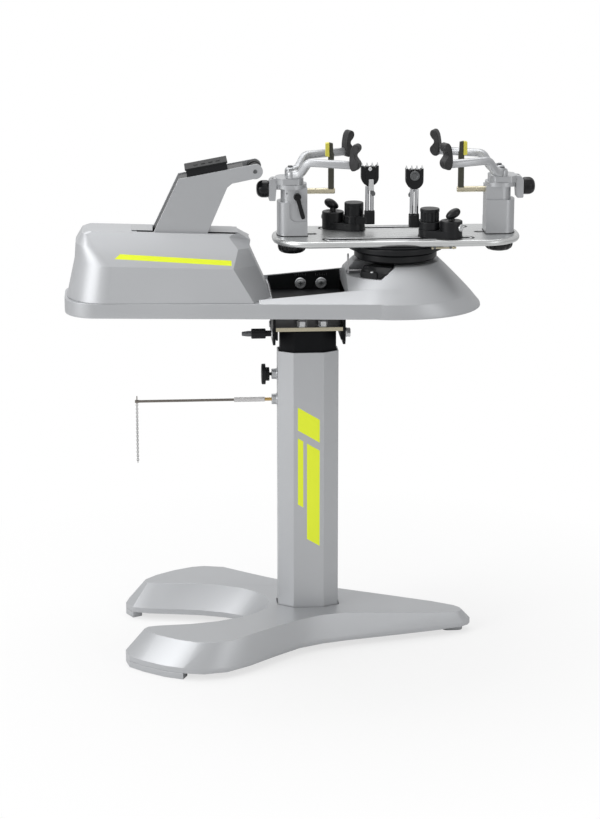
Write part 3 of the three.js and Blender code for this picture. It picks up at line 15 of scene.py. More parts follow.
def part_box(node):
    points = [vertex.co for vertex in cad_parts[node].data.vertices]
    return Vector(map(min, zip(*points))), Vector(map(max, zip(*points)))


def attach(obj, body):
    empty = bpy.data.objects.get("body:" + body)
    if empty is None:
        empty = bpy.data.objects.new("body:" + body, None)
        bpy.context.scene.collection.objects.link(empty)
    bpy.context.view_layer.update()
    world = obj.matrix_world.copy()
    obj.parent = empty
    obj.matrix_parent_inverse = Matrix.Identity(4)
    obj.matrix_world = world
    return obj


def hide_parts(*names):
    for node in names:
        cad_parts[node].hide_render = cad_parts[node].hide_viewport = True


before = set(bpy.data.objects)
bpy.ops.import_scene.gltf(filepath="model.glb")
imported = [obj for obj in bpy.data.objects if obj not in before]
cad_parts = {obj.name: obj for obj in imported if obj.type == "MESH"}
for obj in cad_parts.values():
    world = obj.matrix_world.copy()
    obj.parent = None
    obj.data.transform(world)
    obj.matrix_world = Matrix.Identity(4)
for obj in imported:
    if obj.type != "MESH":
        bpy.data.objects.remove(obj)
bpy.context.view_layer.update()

# %% [markdown]
# ## One ruler for the whole lesson
# A maker's drawing of this machine is in millimetres from the middle of the column, while the frame is in
# metres and centred on the machine's whole length. One small function turns the first into the second,
# so that every number below can be read against a drawing. The turntable turns 191 mm right of the column.

# %% Millimetres of the drawing to metres of the frame
MM = 0.001
HUB_X = 191.0
disc_low, disc_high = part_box("turntable_disc")
COLUMN_X = (disc_low.x + disc_high.x) / 2 / MM - HUB_X


def at(x, y, z):
    return Vector(((x + COLUMN_X) * MM, y * MM, z * MM))


print("the column stands", round(COLUMN_X, 2), "mm right of the frame's origin")

# %% [markdown]
# ## The camera
# The picture was taken from a little above, from far away, with the left end slightly nearer.
# A long lens from that distance gives the same narrow perspective. A very small shift puts the machine where
# the picture has it, and is small enough to keep the whole machine in view from every other side too.

# %% Camera fitted to the photograph
camera_data = bpy.data.cameras.new("studio_camera")
camera_data.sensor_fit = "VERTICAL"
camera_data.sensor_height = 36.0
camera_data.lens = 106.9
camera_data.shift_x = -0.0063
camera_data.shift_y = -0.06
camera_data.clip_end = 60.0
camera = bpy.data.objects.new("studio_camera", camera_data)
bpy.context.scene.collection.objects.link(camera)
camera.location = (-0.3461, -5.1424, 1.955)
camera.rotation_euler = (math.radians(90.0 - 14.393), 0.0, math.radians(-3.974))
bpy.context.scene.camera = camera
bpy.context.scene.view_settings.view_transform = "Standard"
print("camera", tuple(round(v, 2) for v in camera.location), "lens", camera_data.lens, "mm")

# %% [markdown]
# ## Shader maths that reads like maths
# A finish is a small sum of fields: grain, blotches, wear. Writing them as Python expressions is easier to
# follow than wiring nodes by hand. `Field` wraps one output of a node, and its operators add Math nodes.

# %% A field that can be added, multiplied and compared
class Field:
    def __init__(self, finish, socket):
        self.finish = finish
        self.socket = socket

    def maths(self, operation, first, second):
        return self.finish.node("ShaderNodeMath", {"operation": operation}, {0: first, 1: second})

    def __add__(self, other):
        return self.maths("ADD", self, other)

    def __sub__(self, other):
        return self.maths("SUBTRACT", self, other)

    def __rsub__(self, other):
        return self.maths("SUBTRACT", other, self)

    def __mul__(self, other):
        return self.maths("MULTIPLY", self, other)

    def __gt__(self, other):
        return self.maths("GREATER_THAN", self, other)

    def __lt__(self, other):
        return self.maths("LESS_THAN", self, other)

    def between(self, low, high):
        """Runs from 0 at low to 1 at high, and stays there outside them."""
        return self.finish.node("ShaderNodeMapRange", {"clamp": True},
                                {"Value": self, "From Min": low, "From Max": high})


# %% [markdown]
# `Finish` is a material with one Principled shader. Its `node` method makes any node: the settings come
# first, because an operation decides which sockets there are, and then the values or links.

# %% A finish and its one way to make a node
class Finish:
    def __init__(self, name, **constants):
        self.material = bpy.data.materials.new(name)
        self.material.use_nodes = True
        self.tree = self.material.node_tree
        self.shader = next(n for n in self.tree.nodes if n.type == "BSDF_PRINCIPLED")
        for label, value in constants.items():
            self.shader.inputs[label.replace("_", " ")].default_value = value

    def node(self, kind, settings=None, inputs=None, output=0):
        made = self.tree.nodes.new(kind)
        for label, value in (settings or {}).items():
            setattr(made, label, value)
        for label, value in (inputs or {}).items():
            self.feed(made.inputs[label], value)
        return Field(self, made.outputs[output])

    def feed(self, socket, value):
        if isinstance(value, Field):
            self.tree.links.new(value.socket, socket)
        elif isinstance(value, tuple) and len(value) == 3 and socket.type == "RGBA":
            socket.default_value = (*value, 1.0)
        else:
            socket.default_value = value

    def place(self):
        """Metres on the piece itself, so that a pattern moves with it."""
        return self.node("ShaderNodeTexCoord", output="Object")

    def noise(self, scale, detail=2.0, stretch=(1.0, 1.0, 1.0)):
        spread = self.node("ShaderNodeMapping", {}, {"Vector": self.place(), "Scale": stretch})
        return self.node("ShaderNodeTexNoise", {}, {"Vector": spread, "Scale": scale, "Detail": detail})

    def mix(self, share, first, second):
        return self.node("ShaderNodeMix", {"data_type": "RGBA"}, {0: share, 6: first, 7: second}, output=2)

    def axis(self, letter):
        return self.node("ShaderNodeSeparateXYZ", {}, {0: self.place()}, output=letter)

    def give(self, **fields):
        for label, value in fields.items():
            self.feed(self.shader.inputs[label.replace("_", " ")], value)

    def relief(self, height, strength, distance):
        bump = self.node("ShaderNodeBump", {}, {"Height": height, "Strength": strength, "Distance": distance})
        self.give(Normal=bump)


print("finishes are built from Field sums")
# %% [markdown]
# ## Silver metallic paint
# The covers and the metal parts share one silver paint: a grey base with aluminium flake under a clear coat.
# The flake is far too fine to model, so a high noise varies the colour by a few per cent, and a second, wide
# noise gives the soft cloudiness that sprayed paint has. Handling leaves the gloss slightly uneven.
#
# The picture's stripe on the cover and the marks on the column are printed in lime. Only plain stripes with
# slanted ends are kept. They are part of the paint, so they lie flush in it: `print_of` is a mask, worked out
# from a place in drawing millimetres, that chooses lime and takes the metal out of the paint.

# %% Silver paint, plain or with a printed stripe
SILVER = (0.462, 0.472, 0.487)
LIME = (0.82, 0.93, 0.02)


def shade(colour, share):
    return tuple(c * share for c in colour)


def silver_paint(name, roughness, metallic=0.5, print_of=None):
    paint = Finish(name, Coat_Roughness=0.3, IOR=1.5)
    flake = paint.noise(2600.0, detail=1.0)
    cloud = paint.noise(7.0, detail=3.0)
    tone = (flake - 0.5) * 0.5 + (cloud - 0.5) * 0.35 + 0.5
    colour = paint.mix(tone, shade(SILVER, 0.9), shade(SILVER, 1.08))
    metal = (flake - 0.5) * 0.2 + metallic
    if print_of:
        x, y, z = (paint.axis(letter) for letter in "XYZ")
        mask = print_of((x - COLUMN_X * MM) * 1000.0, y * 1000.0, z * 1000.0)
        colour = paint.mix(mask, colour, paint.mix(cloud, shade(LIME, 0.93), LIME))
        metal = metal * (1.0 - mask)
    paint.give(
        Base_Color=colour,
        Metallic=metal,
        Roughness=(cloud - 0.5) * 0.1 + (flake - 0.5) * 0.06 + roughness,
        Coat_Weight=(cloud - 0.5) * 0.1 + 0.14,
    )
    paint.relief(paint.noise(420.0, detail=2.0), 0.05, 0.0004)
    return paint.material


silver_cover = silver_paint("silver_cover_paint", 0.42)
silver_metal = silver_paint("silver_metal_paint", 0.32)
print("silver paint", SILVER)

# %% [markdown]
# ## Black powder coat and black plastic
# The turntable's brake disc and the clamps are powder coated: black, satin, with a fine pebble. The knobs, the
# tray and the panel are moulded plastic, whose spark-eroded grain is coarser and duller. The inner column and the
# bracket have the deepest black, a stoved enamel. All are bump and roughness on nearly the same black.

# %% Blacks
def black_coat(name, roughness, pebble, depth, sheen=0.0, specular=0.22):
    coat = Finish(name, IOR=1.48, Specular_IOR_Level=specular)
    grain = coat.noise(pebble, detail=2.0)
    cloud = coat.noise(11.0, detail=3.0)
    coat.give(
        Base_Color=coat.mix(cloud, (0.005, 0.0054, 0.0062), (0.011, 0.0116, 0.013)),
        Roughness=(grain - 0.5) * 0.16 + (cloud - 0.5) * 0.14 + roughness,
        Coat_Weight=(cloud - 0.5) * 0.1 + sheen,
    )
    coat.relief(grain, 0.35, depth)
    return coat.material


powder_black = black_coat("black_powder_coat", 0.36, 1500.0, 0.00012, sheen=0.1)
grained_black = black_coat("black_grained_plastic", 0.5, 1100.0, 0.0002)
smooth_black = black_coat("black_smooth_plastic", 0.3, 1700.0, 0.00005, sheen=0.15)
tube_black = black_coat("black_tube_enamel", 0.4, 1300.0, 0.0001, specular=0.08)
print("blacks", powder_black.name, grained_black.name, smooth_black.name, tube_black.name)

# %% [markdown]
# ## Turned, brushed and plated metal
# Steel pins and rods show faint lines from drawing and turning; the anodised turntable plate shows brush lines
# along its length. Both come from a noise stretched along one axis, which changes the roughness and raises a
# very small relief. Plain plating has the same noise without a direction.

# %% Bare and plated metals
def worked_metal(name, colour, roughness, stretch, lines=900.0, metallic=1.0):
    metal = Finish(name)
    grain = metal.noise(lines, detail=3.0, stretch=stretch)
    cloud = metal.noise(14.0, detail=2.0)
    metal.give(
        Base_Color=metal.mix(cloud * 0.6 + grain * 0.4, shade(colour, 0.82), colour),
        Metallic=(cloud - 0.5) * 0.06 + metallic,
        Roughness=(grain - 0.5) * 0.22 + (cloud - 0.5) * 0.08 + roughness,
    )
    metal.relief(grain, 0.12, 0.00008)
    return metal.material


along_x = (0.02, 1.0, 1.0)
along_z = (1.0, 1.0, 0.03)
no_direction = (1.0, 1.0, 1.0)
anodised = worked_metal("anodised_aluminium", (0.66, 0.67, 0.67), 0.3, along_x, metallic=0.85)
bare_steel = worked_metal("turned_steel", (0.5, 0.5, 0.51), 0.28, along_z)
dark_steel = worked_metal("darkened_steel", (0.16, 0.165, 0.17), 0.36, along_z)
chrome = worked_metal("polished_chrome", (0.8, 0.81, 0.83), 0.09, along_z, lines=300.0)
zinc = worked_metal("yellow_zinc_plate", (0.6, 0.55, 0.41), 0.26, along_x, lines=1500.0, metallic=0.85)
brass = worked_metal("brass", (0.62, 0.42, 0.16), 0.24, along_z)
bright_zinc = worked_metal("bright_zinc_plate", (0.74, 0.75, 0.76), 0.24, no_direction, lines=200.0, metallic=0.5)
print("metals done")
# %% [markdown]
# ## Rounding the CAD pieces
# No real edge is perfectly sharp: a pressed cover, a casting and a moulding all have a small radius that
# catches a thin highlight. A CAD node keeps its mesh and carries modifiers instead: Weld joins its triangles,
# Decimate merges those that lie in one plane, Bevel rounds the edges, and Weighted Normal keeps flats flat.

# %% A skin for a CAD node
def round_edges(made, radius, angle=32.0, segments=2, miter="MITER_SHARP"):
    """Rounds the edges that are sharper than an angle, then shades flats flat. No radius: only the shading."""
    made.data.shade_smooth()
    if radius:
        bevel = made.modifiers.new("round_edges", "BEVEL")
        bevel.width = radius * MM
        bevel.segments = segments
        bevel.limit_method = "ANGLE"
        bevel.angle_limit = math.radians(angle)
        bevel.miter_outer = miter
    normals = made.modifiers.new("flat_shading_on_flats", "WEIGHTED_NORMAL")
    normals.keep_sharp = False
    normals.weight = 50


def dress(names, finish, radius):
    for name in names:
        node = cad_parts[name]
        node.data.materials.clear()
        node.data.materials.append(finish)
        weld = node.modifiers.new("join_triangles", "WELD")
        weld.merge_threshold = 0.00002
        flats = node.modifiers.new("merge_flats", "DECIMATE")
        flats.decimate_type = "DISSOLVE"
        flats.angle_limit = math.radians(0.6)
        round_edges(node, radius, miter="MITER_ARC")
    print("dressed", len(names), "nodes in", finish.name)


# %% [markdown]
# Finer pieces stand for most nodes below. Each node that stays gets the finish of its real counterpart here, with
# a larger edge radius on cast and sheet pieces than on machined ones.

# %% Finishes for the CAD nodes that stay
sides = ("left", "right")
dress(["base_cover"], silver_cover, 1.6)
dress(["foot_front_left", "foot_rear_left", "foot_right"], silver_cover, 1.0)
dress(["left_tower", "right_tower"], silver_metal, 1.0)
dress(["base_frame", "turntable_post", "drive_motor"], powder_black, 0.8)
dress(["turntable_disc"], powder_black, 1.2)
dress(["height_lock_knob", "power_inlet", "column_bush", "control_panel", "string_gripper"], grained_black, 0.8)
dress(["control_board"], grained_black, 0.2)
dress(["tilt_pivot_pin", "lead_screw", "guide_rod_front", "guide_rod_rear", "brake_lever"], bare_steel, 0.3)
dress(["tension_carriage"], anodised, 0.8)
# %% [markdown]
# ## Building finer pieces
# The CAD keeps its round parts to few sides, because it is also used for collision. The pieces that the
# camera sees closely are built again here with smooth curves, in the same places and to the same sizes.
#
# A `Draft` collects forms in millimetres in a drawing of its own, such as one tower, and then places them all
# at once. It has the shapes a workshop knows: prisms cut from an outline, turned profiles and swept bars.

# %% A draft of forms in millimetres
class Draft:
    def __init__(self, place=None):
        self.mesh = bmesh.new()
        self.place = place or Matrix.Translation(at(0, 0, 0))
        self.finish = 0

    def point(self, x, y, z):
        return self.mesh.verts.new(self.place @ Vector((x * MM, y * MM, z * MM)))

    def face(self, corners):
        made = self.mesh.faces.new(corners)
        made.material_index = self.finish
        return made

    def skin(self, rings, caps=True):
        """Joins rings that have equal numbers of points; a ring of one point is a pole."""
        made = [[self.point(*p) for p in ring] for ring in rings]
        for first, second in zip(made, made[1:]):
            count = max(len(first), len(second))
            for i in range(count):
                j = (i + 1) % count
                corners = [first[i % len(first)], first[j % len(first)], second[j % len(second)],
                           second[i % len(second)]]
                self.face(list(dict.fromkeys(corners)))
        for end in (made[0], made[-1]):
            if caps and len(end) > 2:
                self.face(end)
        return self

    def tube(self, rings):
        """A skin that comes back to its first ring, such as a frame or a chain link."""
        return self.skin([*rings, rings[0]], caps=False)


def level(outline, z):
    """An outline in plan, at one height."""
    return [(x, y, z) for x, y in outline]


def turn_axis(axis, along, u, v):
    return {"x": (along, u, v), "y": (u, along, v), "z": (u, v, along)}[axis]


def prism(draft, outline, axis, low, high):
    """An outline across one axis, between two places on it."""
    rings = [[turn_axis(axis, along, u, v) for u, v in outline] for along in (low, high)]
    return draft.skin(rings)


def circle(steps):
    return [2 * math.pi * i / steps for i in range(steps)]


def turned(draft, profile, axis, centre, sides=48, flutes=0, depth=0.0, sharp=1.0):
    """A profile of (radius, place on the axis), turned about the axis through a centre (u, v).

    An end that isn't on the axis gets a flat face. A knob has flutes round its rim, and the profile's third
    values are then the shares of their depth."""
    rings = []
    for radius, along, *share in [(0, profile[0][1]), *profile, (0, profile[-1][1])]:
        if radius == 0:
            pole = [turn_axis(axis, along, *centre)]
            if pole not in rings:
                rings.append(pole)
            continue
        ring = []
        for a in circle(sides):
            dip = (0.5 + 0.5 * math.cos(flutes * a)) ** sharp if share else 0.0
            r = radius - depth * share[0] * dip if share else radius
            ring.append(turn_axis(axis, along, centre[0] + r * math.cos(a), centre[1] + r * math.sin(a)))
        rings.append(ring)
    return draft.skin(rings)


def round_bar(draft, axis, radius, low, high, centre, sides=40, edge=0.6):
    profile = [(radius - edge, low), (radius, low + edge), (radius, high - edge), (radius - edge, high)]
    return turned(draft, profile, axis, centre, sides)


def plain_disc(draft, axis, radius, low, high, centre, sides=40):
    return turned(draft, [(radius, low), (radius, high)], axis, centre, sides)


def thread(start, turns, pitch, first, second, step):
    """Points of a screw's profile: its radius changes from one to the other and back in every turn."""
    points = []
    for k in range(turns):
        points += [(first, start + k * pitch), (second, start + k * pitch + step)]
    return points


def block(draft, x, y, z):
    return prism(draft, [(x[0], y[0]), (x[1], y[0]), (x[1], y[1]), (x[0], y[1])], "z", z[0], z[1])


print("prisms, turned profiles, bars, discs, threads and blocks")

# %% [markdown]
# Outlines are corners with radii. `filleted` replaces each corner by an arc, `bent` rounds the corners of a
# path, and `swept` carries a section along it with its upper side kept up, as a bar is bent.
# A closed outline that bulges and necks, such as a rubber pad's, is a `flowing` curve through its points.

# %% Round corners, arcs, and bars bent along a path
def arc(centre, radius, start, end, steps=8):
    angles = [math.radians(start + (end - start) * i / steps) for i in range(steps + 1)]
    return [(centre[0] + radius * math.cos(a), centre[1] + radius * math.sin(a)) for a in angles]


def filleted(corners, radius, steps):
    """Each corner is (u, v) or (u, v, its own radius)."""
    rounded = []
    count = len(corners)
    for i in range(count):
        corner = Vector(corners[i][:2])
        size = corners[i][2] if len(corners[i]) > 2 else radius
        before = (Vector(corners[i - 1][:2]) - corner).normalized()
        after = (Vector(corners[(i + 1) % count][:2]) - corner).normalized()
        half = before.angle(after) / 2
        if size <= 0 or half > math.radians(89):
            rounded.append(tuple(corner))
            continue
        start = corner + before * size / math.tan(half)
        end = corner + after * size / math.tan(half)
        centre = corner + (before + after).normalized() * size / math.sin(half)
        for s in range(steps + 1):
            spoke = (start - centre).lerp(end - centre, s / steps).normalized() * size
            rounded.append(tuple(centre + spoke))
    return rounded


def bent(points, cut, steps=8):
    """Straight runs between points, with each bend started and ended a cut's length from its corner."""
    knots = [Vector(p) for p in points]
    path = [knots[0]]
    for before, corner, after in zip(knots, knots[1:], knots[2:]):
        start = corner + (before - corner).normalized() * cut
        end = corner + (after - corner).normalized() * cut
        for s in range(steps + 1):
            t = s / steps
            path.append(start * (1 - t) ** 2 + corner * 2 * t * (1 - t) + end * t * t)
    return [*path, knots[-1]]


def swept(draft, path, section):
    """section(share along the path) gives the outline as (sideways, upwards) points."""
    rings = []
    for i, here in enumerate(path):
        along = (path[min(i + 1, len(path) - 1)] - path[max(i - 1, 0)]).normalized()
        across = along.cross(Vector((0, 0, 1)))
        across = across.normalized() if across.length > 0.05 else Vector((1, 0, 0))
        up = across.cross(along)
        rings.append([tuple(here + across * u + up * v) for u, v in section(i / (len(path) - 1))])
    return draft.skin(rings)


def flowing(points, steps=6):
    """A closed smooth curve through flat points."""
    knots = [Vector(p) for p in points]
    count = len(knots)
    curve = []
    for i in range(count):
        a, b, c, d = (knots[(i + k) % count] for k in (-1, 0, 1, 2))
        for s in range(steps):
            t = s / steps
            curve.append(tuple(0.5 * (2 * b + (c - a) * t + (2 * a - 5 * b + 4 * c - d) * t * t
                                      + (3 * b - a - 3 * c + d) * t ** 3)))
    return curve


print("fillets, bends, sweeps and flowing outlines")

# %% [markdown]
# A finished piece gets its finishes, rounded edges and smooth shading in one call, and rides on a body.

# %% From draft to piece
def piece(name, draft, finishes, body, stands_for=(), *, edge, angle=32.0, segments=2):
    bmesh.ops.remove_doubles(draft.mesh, verts=draft.mesh.verts, dist=0.000002)
    bmesh.ops.recalc_face_normals(draft.mesh, faces=draft.mesh.faces)
    mesh = bpy.data.meshes.new(name)
    draft.mesh.to_mesh(mesh)
    draft.mesh.free()
    for finish in finishes:
        mesh.materials.append(finish)
    made = bpy.data.objects.new(name, mesh)
    bpy.context.scene.collection.objects.link(made)
    round_edges(made, edge, angle, segments)
    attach(made, body)
    if stands_for:
        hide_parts(*stands_for)
    return made


# %% [markdown]
# ## The two towers
# Both towers are the same, turned half round the turntable's axis, so each is drafted once about its own
# middle with the racket towards +x. `tower_place` moves that drawing to its side of the machine.

# %% Where a tower stands
TOWER_REACH = 225.0
PLATE_TOP = 914.0
FORKS = (("front", -1), ("rear", 1))


def half_turn(side):
    return Matrix.Rotation(0.0 if side == "left" else math.pi, 4, "Z")


def tower_place(side):
    reach = -TOWER_REACH if side == "left" else TOWER_REACH
    return Matrix.Translation(at(HUB_X + reach, 0, 0)) @ half_turn(side)


print("towers", TOWER_REACH, "mm from the hub")

# %% [markdown]
# The arms are soft silver castings of nearly square section with large corner radii. Each climbs from its
# pivot, bends level and runs out to its pad; the section swells towards the pivot.

# %% Fork arms
ARM_PATH = ((-2.0, 22.0, 1048.0), (15.0, 34.0, 1049.5), (32.0, 48.0, 1078.0), (126.0, 92.0, 1078.0))
ARM_SWELL = 0.3
PIVOT_LOW = 1040.3


def arm_section(share):
    swell = max(0.0, 1.0 - share / ARM_SWELL)
    wide = 9.1 + 1.6 * swell - 0.7 * share
    high = 8.9 + 1.0 * swell - 0.6 * share
    return filleted([(-wide, -high), (wide, -high), (wide, high), (-wide, high)], 5.6, 4)


def build_fork_arm(side, fork, across):
    draft = Draft(tower_place(side))
    path = [(x, across * y, z) for x, y, z in ARM_PATH]
    pivot = path[0][:2]
    swept(draft, bent(path, 9.5), arm_section)
    boss = [(11.2, PIVOT_LOW), (12, PIVOT_LOW + 0.8), (12, 1050), (11, 1054), (8, 1056.2), (0, 1056.8)]
    turned(draft, boss, "z", pivot)
    draft.finish = 1
    turned(draft, [(5, 1056), (5, 1059.4), (4.4, 1060), (2.6, 1060), (2.4, 1057.6)], "z", pivot, 24)
    return piece(f"{side}_arm_{fork}_casting", draft, [silver_metal, dark_steel], f"{side}_{fork}_fork",
                 [f"{side}_arm_{fork}"], edge=0)


for side in sides:
    for fork, across in FORKS:
        build_fork_arm(side, fork, across)
print("four fork arms")

# %% [markdown]
# Each pad is moulded rubber with a round upper lobe, a neck that takes the racket's frame and a fuller lower
# lobe. Its skin is matt and dark with a fine grain, and it is greyer where frames have rubbed it.

# %% Rubber pads
rubber = Finish("dark_rubber", IOR=1.45)
rubber_grain = rubber.noise(1400.0, detail=2.0)
rubber_rub = rubber.noise(60.0, detail=3.0).between(0.45, 0.75)
rubber.give(Base_Color=rubber.mix(rubber_rub, (0.014, 0.014, 0.015), (0.034, 0.034, 0.036)),
            Roughness=(rubber_grain - 0.5) * 0.15 + rubber_rub * 0.1 + 0.5)
rubber.relief(rubber_grain, 0.4, 0.00025)
PAD_MIDDLE = (128.0, 92.0, 1096.0)
PAD_TURN = 25.0
PAD_WIDTH, PAD_DEPTH, PAD_HEIGHT = 0.9, 0.92, 0.97
PAD_EDGE = ((-12.4, 2.6), (-11.6, 1.2), (-10, 0.3), (-8, 0), (8, 0), (10, 0.3), (11.6, 1.2), (12.4, 2.6))
pad_outline = flowing([(-6, -29), (-10.5, -19), (-11, -4), (-9.5, 8), (-6.5, 20), (-1, 28), (5.5, 29.2),
                       (11.5, 25.5), (12.6, 18), (8.5, 11.5), (3.0, 6.5), (2.2, 0.5), (6.5, -5), (12.2, -12),
                       (12.2, -20), (7, -27), (0.5, -30)])


def build_pad(side, fork, across):
    x, y, z = PAD_MIDDLE
    place = tower_place(side) @ Matrix.Translation(Vector((x, across * y, z)) * MM)
    draft = Draft(place @ Matrix.Rotation(math.radians(across * PAD_TURN), 4, "Z"))
    draft.skin([[(u * (1 - inset / 15) * PAD_WIDTH, depth * PAD_DEPTH, v * (PAD_HEIGHT - inset / 30))
                 for u, v in pad_outline] for depth, inset in PAD_EDGE])
    return piece(f"{side}_arm_{fork}_pad", draft, [rubber.material], f"{side}_{fork}_fork", edge=0)


for side in sides:
    for fork, across in FORKS:
        build_pad(side, fork, across)
print("four rubber pads")

# %% [markdown]
# The carrier under the arms slides on the tower's flange. Behind the tower it turns down into a bracket whose
# screw, with a smooth domed knob, moves the arms in and out to suit the racket's length.

# %% Arm carriers
CARRIER_LOW = 1026.3
CARRIER_TOP = 1040.0
ADJUST_LEVEL = 1014.0
carrier_plan = filleted([(-34, -20), (-22, -31), (14, -31), (24, -18), (24, 18), (14, 31), (-22, 31), (-34, 20)],
                        7.0, 5)
bracket_side = filleted([(-28, 1027, 0), (-33, 1027, 7), (-36, 990, 2), (-50, 990, 3), (-50, 1038, 11),
                         (-28, 1038, 0)], 3.0, 6)


def build_carrier(side):
    draft = Draft(tower_place(side))
    prism(draft, carrier_plan, "z", CARRIER_LOW, CARRIER_TOP)
    prism(draft, bracket_side, "y", -16, 16)
    draft.finish = 1
    block(draft, (-33.6, -27.5), (-20.2, 20.2), (1030.2, 1033.4))
    round_bar(draft, "z", 2.4, 1037, 1038.2, (-41, -6), 20, 0.3)
    return piece(f"{side}_carrier_casting", draft, [silver_metal, smooth_black], f"{side}_carrier",
                 [f"{side}_arm_carrier"], edge=1.1, segments=3)


def build_adjuster(side):
    draft = Draft(tower_place(side))
    centre = (0, ADJUST_LEVEL)
    crown = [(max(0.0, v) + 5.2, u) for u, v in arc((-62.5, 0), 13.8, 180, 90)]
    profile = [(0, -76.3), *crown, (19, -55), (18.6, -52.4), (17, -50.5), (0, -50.4)]
    turned(draft, [(r, x, 0.0 if r < 15 else 1.0) for r, x in profile], "x", centre, 96, flutes=10, depth=0.55)
    draft.finish = 1
    screw = [(0, -50.4), *thread(-50.3, 20, pitch=1.38, first=2.6, second=2.2, step=0.7), (0, -22)]
    turned(draft, screw, "x", centre, 20)
    draft.finish = 0
    turned(draft, [(4.6, -76.2), (5.4, -75.8), (5.6, -74.4), (0, -74.0)], "x", centre, 40)
    return piece(f"{side}_adjust_knob_dome", draft, [smooth_black, bare_steel], f"{side}_adjuster",
                 [f"{side}_adjust_knob"], edge=0)


for side in sides:
    build_carrier(side)
    build_adjuster(side)
print("carriers and adjusting knobs")

# %% [markdown]
# The support hook holds the racket's head from inside: a plated rod out of the tower, an upright bar of
# blackened steel and a yellow pad on the side that faces the tower.

# %% Support hooks
yellow_pad = Finish("yellow_nylon", IOR=1.5, Roughness=0.38)
yellow_grain = yellow_pad.noise(900.0, detail=2.0)
yellow_pad.give(Base_Color=yellow_pad.mix(yellow_pad.noise(40.0), (0.62, 0.56, 0.06), (0.74, 0.69, 0.12)),
                Roughness=(yellow_grain - 0.5) * 0.12 + 0.4)
yellow_pad.relief(yellow_grain, 0.2, 0.0001)
olive_steel = worked_metal("blackened_steel", (0.075, 0.075, 0.06), 0.42, along_z, metallic=0.75)
ROD_LEVEL = 1008.0


def build_hook(side):
    draft = Draft(tower_place(side))
    rod = [(6.3, 2), (6.3, 50), (5.7, 50.6), (5.7, 51.8), (6.3, 52.4), (6.3, 91.6), (5.4, 92.8), (0, 93)]
    turned(draft, rod, "x", (0, ROD_LEVEL), 40)
    draft.finish = 1
    block(draft, (78.4, 90.6), (-4.8, 4.8), (1010, 1090))
    prism(draft, [(80, 1089), (89, 1089), (88.2, 1111), (81.5, 1112.6), (80, 1112.6)], "y", -4.4, 4.4)
    draft.finish = 2
    prism(draft, [(72.2, 1084), (80.2, 1082.6), (80.2, 1112.6), (72.6, 1111.6)], "y", -7.6, 7.6)
    return piece(f"{side}_hook_assembly", draft, [zinc, olive_steel, yellow_pad.material], f"{side}_hook",
                 [f"{side}_support_hook"], edge=0.7)


# %% [markdown]
# Under each hook's rod a cam lever locks the tower's slide; its narrow grip hangs down at a slant. The lock knob
# under the plate has twelve deep flutes for the fingers, and a thin black shoe lies between tower and plate.

# %% Cam levers and lock knobs
CAM_CENTRE = (10, 1001)
LEVER_LENGTH = 48.0
LEVER_SHAPE = ((0.0, 5.2), (0.35, 4.2), (0.8, 4.6), (0.97, 4.4), (1.03, 2.4))


def build_cam_lever(side):
    draft = Draft(tower_place(side))
    hub = [(4.2, -37.2), (4.2, -36.0), (5.2, -36.0), (5.2, -37.4), (7.4, -37.2), (8.2, -36.2), (8.2, -28.4)]
    turned(draft, hub, "y", CAM_CENTRE, 40)
    lean = math.atan2(13.0, LEVER_LENGTH)
    along = Vector((math.sin(lean), -math.cos(lean)))
    across = Vector((along.y, -along.x))
    spine = [(Vector(CAM_CENTRE) + along * LEVER_LENGTH * share, half) for share, half in LEVER_SHAPE]
    grip = [tuple(c + across * half) for c, half in spine] + [tuple(c - across * half) for c, half in reversed(spine)]
    prism(draft, grip, "y", -36.4, -30.2)
    return piece(f"{side}_cam_handle", draft, [smooth_black], f"{side}_cam", [f"{side}_cam_lever"], edge=1.1,
                 segments=3)


def build_lock_knob(side):
    draft = Draft(tower_place(side))
    knob = [(0, 874.1, 0), (17, 874.3, 0), (24, 876.2, 0.4), (28.6, 880, 0.8), (30.8, 885, 1), (31, 891, 1),
            (29.5, 895.6, 0.8), (26.4, 897.6, 0.2), (0, 897.7, 0)]
    turned(draft, knob, "z", (0, 0), 144, flutes=12, depth=1.9, sharp=2.0)
    draft.finish = 1
    round_bar(draft, "z", 6, 897.7, 930, (0, 0), 32)
    return piece(f"{side}_lock_knob_moulding", draft, [smooth_black, bright_zinc], f"{side}_lock_knob",
                 [f"{side}_tower_lock_knob"], edge=0)


# %% Black shoes between the towers and the plate
def build_tower_shoe(side):
    draft = Draft(tower_place(side))
    plan = filleted([(-33.2, -29.2, 22.5), (33.2, -29.2, 1.5), (33.2, 29.2, 1.5), (-33.2, 29.2, 22.5)], 2, 8)
    prism(draft, plan, "z", PLATE_TOP + 0.02, PLATE_TOP + 1.3)
    return piece(f"{side}_tower_shoe", draft, [grained_black], f"{side}_tower", edge=0.2)


for side in sides:
    build_hook(side)
    build_cam_lever(side)
    build_lock_knob(side)
    build_tower_shoe(side)
print("hooks, cam levers, lock knobs and shoes")
# %% [markdown]
# ## The two string clamps
# A clamp slides in its slot, swings on its pin and holds a string in its teeth. Its bodies are black, and the
# parts that wear are bare: two chromed posts, plated teeth and screws. `stadium` is the outline of a slot, and
# `socket_screw` is a screw's round head.

# %% Where a clamp stands, and two of its shapes
CLAMP_OUT = {"left": 131.0, "right": 113.0}
CLAMP_BACK = 62.0


def clamp_place(side):
    way = -1 if side == "left" else 1
    return Matrix.Translation(at(HUB_X + way * CLAMP_OUT[side], -way * CLAMP_BACK, 0)) @ half_turn(side)


def stadium(start, end, radius, steps=12):
    lean = math.degrees(math.atan2(end[1] - start[1], end[0] - start[0]))
    return arc(end, radius, lean - 90, lean + 90, steps) + arc(start, radius, lean + 90, lean + 270, steps)


